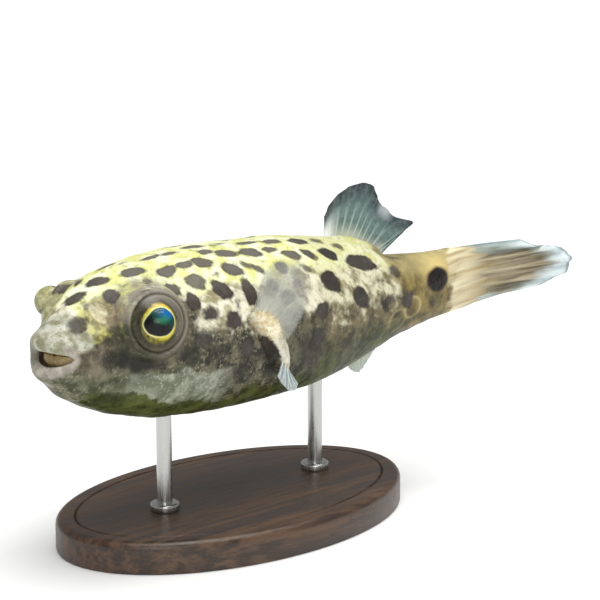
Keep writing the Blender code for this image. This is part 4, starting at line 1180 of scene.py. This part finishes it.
# %% Rays of the fins in the middle plane
DORSAL_ROOT = ((60.0, 7.4), (71.2, 3.8))
DORSAL_TIPS = (
    (59.9, 12.0), (61.1, 13.9), (63.0, 15.4), (65.2, 16.4), (67.4, 16.8), (69.4, 16.5), (70.7, 15.4),
    (71.1, 13.9), (72.0, 12.7), (73.6, 11.6), (75.2, 10.1), (78.9, 8.9), (77.0, 7.9), (74.6, 6.2),
)
ANAL_ROOT = ((64.2, -10.6), (71.4, -8.2))
ANAL_TIPS = ((65.2, -13.9), (66.2, -14.8), (67.4, -15.1), (68.7, -14.0), (70.0, -12.6), (71.4, -10.9))
CAUDAL_ROOT = ((86.2, 3.8), (86.2, -7.0))
CAUDAL_TIPS = (
    (101.4, 3.8), (104.4, 2.6), (106.8, 2.2), (109.2, 1.9), (111.0, 1.0), (111.9, -0.3),
    (111.9, -1.5), (111.0, -2.6), (109.0, -3.6), (105.2, -4.5), (101.2, -4.9),
)
ALONG_COUNT = 72  # points along a ray


def middle_rays(root, tips, count, pleat=0.0):
    share = np.linspace(0, 1, count)[:, None]
    starts = np.array(root[0]) * (1 - share) + np.array(root[1]) * share
    ends = smooth_through(np.linspace(0, 1, len(tips)), tips, share[:, 0])
    along = np.linspace(0, 1, ALONG_COUNT)
    rays = []
    for number, (start, end) in enumerate(zip(starts, ends)):
        line = start + (end - start) * along[:, None]
        fold = pleat * (1 if number % 2 else -1) * along**0.6
        rays.append(np.stack([line[:, 0], fold, line[:, 1]], -1))
    return np.array(rays)


print("dorsal rays", middle_rays(DORSAL_ROOT, DORSAL_TIPS, 12).shape)

# %% Rays of the pectoral fins
# Where each ray starts down the arm, from 0 at its top to 1 at its end.
LEFT_ROOTS = (0.05, 0.11, 0.17, 0.23, 0.29, 0.35, 0.41, 0.47, 0.53, 0.58, 0.63)
LOWER_ROOTS = (0.86, 0.89, 0.92, 0.95, 0.98)
RIGHT_ROOTS = (0.10, 0.16, 0.24, 0.34, 0.45, 0.56, 0.67, 0.78, 0.88, 0.94)
LEFT_TIPS = (
    (32.6, 14.0, 3.9), (33.0, 14.4, 6.6), (34.1, 14.7, 9.1), (36.8, 14.9, 10.4),
    (40.2, 15.0, 10.0), (42.5, 15.0, 8.0), (43.4, 15.0, 5.7), (43.1, 15.0, 3.4),
    (42.2, 14.8, 1.3), (41.0, 14.4, -0.9), (40.0, 13.6, -2.8),
)
LOWER_TIPS = (
    (38.2, 13.0, -8.3), (39.2, 13.2, -9.9), (40.5, 13.3, -11.0), (41.8, 13.2, -11.2), (42.5, 13.0, -10.3),
)
RIGHT_TIPS = (
    (36.4, 14.0, 6.0), (39.6, 14.8, 6.6), (42.6, 15.6, 5.8), (45.0, 16.4, 4.0),
    (46.4, 16.8, 1.6), (46.6, 16.8, -1.4), (45.8, 16.6, -4.4), (44.2, 16.0, -7.4),
    (42.2, 14.6, -9.8), (39.8, 13.4, -9.6),
)
RAY_BOW = 0.06


def pectoral_rays(shares, tips):
    roots = smooth_through(np.arange(7), PECTORAL_ARM, np.array(shares) * 6)
    along = np.linspace(0, 1, ALONG_COUNT)[:, None]
    rays = []
    for row, tip in zip(roots, tips):
        start = row[:3] + np.array([0.0, -0.4, 0.0])
        reach = np.array(tip) - start
        bow = np.array([0.0, RAY_BOW * np.linalg.norm(reach), 0.0]) * 4 * along * (1 - along)
        rays.append(start + reach * along + bow)
    return np.array(rays)


print("pectoral rays", pectoral_rays(LEFT_ROOTS, LEFT_TIPS).shape)

# %% A fan of rays and web
FIN_THICKNESS, TIP_THINNING, RAY_HALF_WIDTH, RAY_SPLIT = 0.6, 0.45, 0.13, 0.20
THICKNESS_STEPS = 40


def fan(name, rays, per_ray, way=1, scallop=0.012, web=0.35, ray=0.95, wave=0.06, ragged=0.0, seed=1):
    """One fin from its rays' paths; web and ray are shares of the full thickness."""
    count = len(rays)
    places = np.linspace(0, count - 1, (count - 1) * per_ray + 1)
    lines = smooth_through(np.arange(count), rays.reshape(count, -1), places)
    lines = lines.reshape(len(places), ALONG_COUNT, 3)
    along = np.linspace(0, 1, ALONG_COUNT)[None, :]
    offset = (places - np.round(places))[:, None]
    split = RAY_SPLIT * ease(0.45, 0.9, along)
    bone = np.exp(-((np.abs(offset) - split) / RAY_HALF_WIDTH) ** 2) * (1 - TIP_THINNING * along)
    dip = 1 - scallop * (np.abs(offset) * 2) ** 1.5
    tear = ragged * ripple(np.stack([places * 1.4, 0 * places, 0 * places], -1), 0.5, seed, 12)
    length = np.clip(dip + tear[:, None], 0.7, 1.03)
    lines = lines[:, :1] + (lines - lines[:, :1]) * (along * length / np.maximum(along, 1e-6))[..., None]
    lines = lines + np.array([0, 1.0, 0]) * (wave * np.sin(2 * np.pi * offset) * along)[..., None]
    points = in_space(lines[..., 0], lines[..., 1] * way, lines[..., 2])
    across = (places / (count - 1))[:, None] + 0 * along
    fin_masks = {"ray": bone, "along": along + 0 * bone, "across": across, "station": lines[..., 0]}
    piece = grid_piece(name, points, fin_masks, merge=False)
    group = piece.vertex_groups.new(name="thickness")
    values, alongs = (np.empty(len(piece.data.vertices), dtype=np.float32) for _ in range(2))
    piece.data.attributes["ray"].data.foreach_get("value", values)
    piece.data.attributes["along"].data.foreach_get("value", alongs)
    weights = np.clip(web + (ray - web) * values, 0, 1) * (1 - TIP_THINNING * alongs)
    steps = np.round(weights * THICKNESS_STEPS).astype(int)
    for step in np.unique(steps):
        group.add(np.nonzero(steps == step)[0].tolist(), float(step) / THICKNESS_STEPS, "REPLACE")
    wall = piece.modifiers.new("thickness", "SOLIDIFY")
    wall.thickness, wall.offset, wall.vertex_group = FIN_THICKNESS * MM, 0.0, group.name
    bpy.ops.object.modifier_apply(modifier=wall.name)
    bpy.ops.object.shade_smooth()
    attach(piece, "root")
    return piece


dorsal = fan(
    "dorsal_fin", middle_rays(DORSAL_ROOT, DORSAL_TIPS, 13), 14, scallop=0.006, ragged=0.002, seed=41)
anal = fan("anal_fin", middle_rays(ANAL_ROOT, ANAL_TIPS, 9), 12, ragged=0.005, seed=42)
caudal = fan(
    "tail_fin", middle_rays(CAUDAL_ROOT, CAUDAL_TIPS, 11, 0.45), 14, scallop=0.006, ragged=0.002, seed=43)
left = fan("pectoral_fin_left", pectoral_rays(LEFT_ROOTS, LEFT_TIPS), 12, ragged=0.006, seed=44)
lower = fan("pectoral_rays_left", pectoral_rays(LOWER_ROOTS, LOWER_TIPS), 12, ragged=0.010, seed=46)
right = fan("pectoral_fin_right", pectoral_rays(RIGHT_ROOTS, RIGHT_TIPS), 14, -1, ragged=0.006, seed=45)
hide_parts("fin_dorsal")
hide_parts("fin_anal")
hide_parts("fin_caudal")
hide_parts("fin_pectoral_left")
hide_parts("fin_pectoral_right")
print("fin triangles", {piece.name: sum(len(p.vertices) - 2 for p in piece.data.polygons)
                        for piece in (dorsal, anal, caudal, left, lower, right)})

# %% [markdown]
# ## The fins' finish
# Web lets light through and rays do not, so the same ray mask drives colour and opacity.
# A fin has two faces, one behind the other, so each is more open than the fin looks.

# %% Fin finishes
def dorsal_extra(made, colour, opacity):
    """White low in front, and a paler notch behind the peak."""
    front = made.times(made.between("across", 0.22, 0.02), made.between("along", 0.85, 0.35))
    gap = made.sum(made.sum("across", -0.66), 0, "ABSOLUTE")
    notch = made.times(made.between(gap, 0.10, 0.02), made.between("along", 0.74, 0.94))
    colour = made.layered(colour, (front, (250, 253, 252)), (notch, 0.6, (206, 216, 218)))
    return colour, made.sum(opacity, made.times(front, -0.45))


def caudal_extra(made, colour, opacity):
    """The tail's own streaks, with blue-white along its upper and lower edges and its end."""
    drawn_out = (1.6, 0.5, 3.0, 0.55, (0.35, 0.08, 1.0))
    across = made.ragged("across", *drawn_out)
    upper = made.times(made.between(across, 0.26, 0.02), made.between("along", 0.10, 0.42))
    lower = made.times(made.between(across, 0.70, 0.95), made.between("along", 0.0, 0.20))
    end = made.between(made.ragged("along", *drawn_out), 0.66, 0.93)
    edge = made.sum(made.sum(upper, lower, "MAXIMUM"), end, "MAXIMUM")
    border = made.sum(made.between("along", 0.965, 0.99), made.between("across", 0.035, 0.01), "MAXIMUM")
    patches = made.noise(1.4, 2.0, 0.55, (0.35, 0.12, 1.0))
    cool = made.layered(
        (118, 132, 126), (patches, 0.36, 0.64, (180, 192, 188)), (end, (226, 238, 240)),
        (border, 0.7, (122, 144, 148)))
    rays = made.times(made.between("ray", 0.1, 0.9), made.between("along", 0.2, 0.45, 0.0, 0.45))
    colour = made.layered(made.tail_paint(), (rays, (206, 194, 160)), (edge, cool))
    return colour, made.sum(opacity, made.times(edge, -0.1))


def pectoral_extra(made, colour, opacity):
    """Cloudy web that fades out at its edge."""
    colour = made.layered(colour, (made.noise(2.4), 0.42, 0.62, 0.5, (198, 200, 190)))
    return colour, made.times(opacity, made.between("along", 0.80, 1.0, 1.0, 0.15))


def lower_extra(made, colour, opacity):
    """White rays on blue-grey web."""
    return made.layered(colour, ("ray", 0.1, 0.8, 0.8, (226, 232, 228))), opacity


def web_finish(piece, name, paints, open_root, open_tip, ray_opacity, extra=None):
    """A fin's colours at root, middle and tip and on its rays, and how opaque it is."""
    made = Finish(name)
    grain, colour = made.noise(0.9), None
    if paints:
        root, middle, tip, bone = paints
        rays = made.times(made.between("ray", 0.1, 0.9), made.between("along", 0.85, 0.2))
        colour = made.layered(
            root, ("along", 0.04, 0.45, middle), ("along", 0.55, 0.98, tip),
            (grain, 0.4, 0.7, 0.12, bone), (rays, bone))
    opacity = made.between("along", 0.05, 0.9, open_root, open_tip)
    if extra:
        colour, opacity = extra(made, colour, opacity)
    opacity = made.sum(opacity, made.between("ray", 0.2, 0.9, 0.0, ray_opacity))
    opacity = made.sum(opacity, made.between(grain, 0.35, 0.7, 0.0, 0.10))
    made.plug(made.shader.inputs["Alpha"], made.sum(opacity, 1.0, "MINIMUM"))
    made.put_on([piece], colour, made.bump(made.noise(0.5), 0.03), 0.35)


DORSAL_PAINTS = ((238, 234, 208), (92, 120, 115), (38, 54, 56), (184, 200, 196))
ANAL_PAINTS = ((214, 212, 172), (196, 202, 178), (182, 196, 184), (226, 230, 212))
PECTORAL_PAINTS = ((216, 214, 196), (170, 172, 164), (154, 157, 152), (182, 184, 175))
LOWER_PAINTS = ((214, 208, 184), (164, 182, 184), (180, 194, 194), (226, 232, 228))
web_finish(dorsal, "dorsal web", DORSAL_PAINTS, 0.8, 0.94, 0.12, dorsal_extra)
web_finish(anal, "anal web", ANAL_PAINTS, 0.7, 0.55, 0.3)
web_finish(caudal, "tail web", None, 0.96, 0.9, 0.1, caudal_extra)
web_finish(left, "pectoral web", PECTORAL_PAINTS, 0.62, 0.34, 0.04, pectoral_extra)
web_finish(lower, "pectoral rays", LOWER_PAINTS, 0.7, 0.5, 0.3, lower_extra)
web_finish(right, "pectoral web", PECTORAL_PAINTS, 0.62, 0.34, 0.04, pectoral_extra)
print("fin finishes ready")

# %% [markdown]
# ## Stand
# The fish is held by two thin steel rods on an oval base of dark oiled wood.  The base is a
# cylinder primitive drawn out to an oval, with its upper edge rounded by bevels and a fine
# groove cut round it by insets; each rod is a turned bar with a small collar at its foot.

# %% Stand base
BASE_LENGTH, BASE_WIDTH, BASE_HEIGHT, BASE_EDGE = 64.0, 40.0, 5.0, 1.2
GROOVE_INSET, GROOVE_SIDE, GROOVE_DEPTH = 1.6, 0.25, 0.35
SMOOTH_ANGLE = math.radians(40)


def select_parts(piece, kind, wanted):
    """Goes into edit mode with only the edges or faces selected that pass the test."""
    bpy.ops.object.mode_set(mode="EDIT")
    bpy.ops.mesh.select_all(action="DESELECT")
    bpy.ops.mesh.select_mode(type=kind)
    bpy.ops.object.mode_set(mode="OBJECT")
    for part in piece.data.edges if kind == "EDGE" else piece.data.polygons:
        part.select = wanted(part)
    bpy.ops.object.mode_set(mode="EDIT")


def edge_heights(edge):
    return [base.data.vertices[n].co.z / MM for n in edge.vertices]


deselect_all()
bpy.ops.mesh.primitive_cylinder_add(
    vertices=160, radius=0.5, depth=BASE_HEIGHT * MM, end_fill_type="NGON",
    location=(0, 0, BASE_HEIGHT / 2 * MM))
base = bpy.context.object
base.name = base.data.name = "stand_plate"
base.scale = (BASE_WIDTH * MM, BASE_LENGTH * MM, 1.0)
bpy.ops.object.transform_apply(location=True, rotation=True, scale=True)
select_parts(base, "EDGE", lambda edge: min(edge_heights(edge)) > BASE_HEIGHT - 0.1)
bpy.ops.mesh.bevel(offset=BASE_EDGE * MM, segments=8, profile=0.5, affect="EDGES")
select_parts(base, "FACE", lambda face: face.normal.z > 0.99 and len(face.vertices) > 20)
bpy.ops.mesh.inset(thickness=GROOVE_INSET * MM)
for way in (-1, 1):
    bpy.ops.mesh.inset(thickness=GROOVE_SIDE * MM, depth=way * GROOVE_DEPTH * MM)
select_parts(base, "EDGE", lambda edge: max(edge_heights(edge)) < 0.01)
bpy.ops.mesh.bevel(offset=0.4 * MM, segments=2, affect="EDGES")
deselect_all()
base.select_set(True)
bpy.context.view_layer.objects.active = base
bpy.ops.object.shade_smooth_by_angle(angle=SMOOTH_ANGLE)
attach(base, "root")
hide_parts("stand_base")
print("base", tuple(round(v * 1000, 1) for v in base.dimensions))

# %% Stand rods
ROD_BACKS, ROD_RADIUS, ROD_SUNK = (26.0, 58.0), 1.2, 1.9
COLLAR_RADIUS, COLLAR_HEIGHT, COLLAR_MIDDLE = 2.3, 1.4, 0.55


def round_bar(radius, depth, place):
    bpy.ops.mesh.primitive_cylinder_add(
        vertices=64, radius=radius * MM, depth=depth, end_fill_type="NGON", location=place)
    return bpy.context.object


rods = []
for number, back in enumerate(ROD_BACKS, start=1):
    x, y, _ = in_space(back, 0.0, 0.0) * MM
    low, high = (BASE_HEIGHT - ROD_SUNK) * MM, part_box(f"stand_rod_{number}")[1][2]
    deselect_all()
    rod = round_bar(ROD_RADIUS, high - low, (x, y, (low + high) / 2))
    rod.name = rod.data.name = f"stand_pin_{number}"
    collar = round_bar(COLLAR_RADIUS, COLLAR_HEIGHT * MM, (x, y, (BASE_HEIGHT + COLLAR_MIDDLE) * MM))
    rounding = collar.modifiers.new("edge", "BEVEL")
    rounding.width, rounding.segments, rounding.limit_method = 0.4 * MM, 4, "ANGLE"
    bpy.ops.object.modifier_apply(modifier=rounding.name)
    rod.select_set(True)
    bpy.context.view_layer.objects.active = rod
    bpy.ops.object.join()
    bpy.ops.object.transform_apply(location=True, rotation=True, scale=True)
    bpy.ops.object.shade_smooth_by_angle(angle=SMOOTH_ANGLE)
    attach(rod, "root")
    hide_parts(f"stand_rod_{number}")
    rods.append(rod)
print("rods", [tuple(round(v * 1000, 1) for v in rod.dimensions) for rod in rods])

# %% Stand finishes
wood = Finish("oiled dark wood")
growth = wood.noise(1.4, 4.0, 0.6, (1.0, 0.07, 1.0))
pores = wood.noise(0.35, 2.0, 0.5, (1.0, 0.05, 1.0))
timber = wood.layered(
    (52, 38, 30), (growth, 0.38, 0.66, (92, 68, 50)), (pores, 0.56, 0.72, 0.7, (30, 22, 18)))
wood.put_on([base], timber, wood.bump(pores, 0.03), wood.between(growth, 0.3, 0.7, 0.32, 0.46))

steel = Finish("brushed steel")
steel.shader.inputs["Metallic"].default_value = 1.0
brushed = steel.noise(0.25, 2.0, 0.5, (1.0, 1.0, 0.06))
metal = steel.mix(brushed, (176, 176, 174), (206, 206, 203))
steel.put_on(rods, metal, steel.bump(brushed, 0.008), steel.between(brushed, 0.3, 0.7, 0.22, 0.36))
print("stand finished")
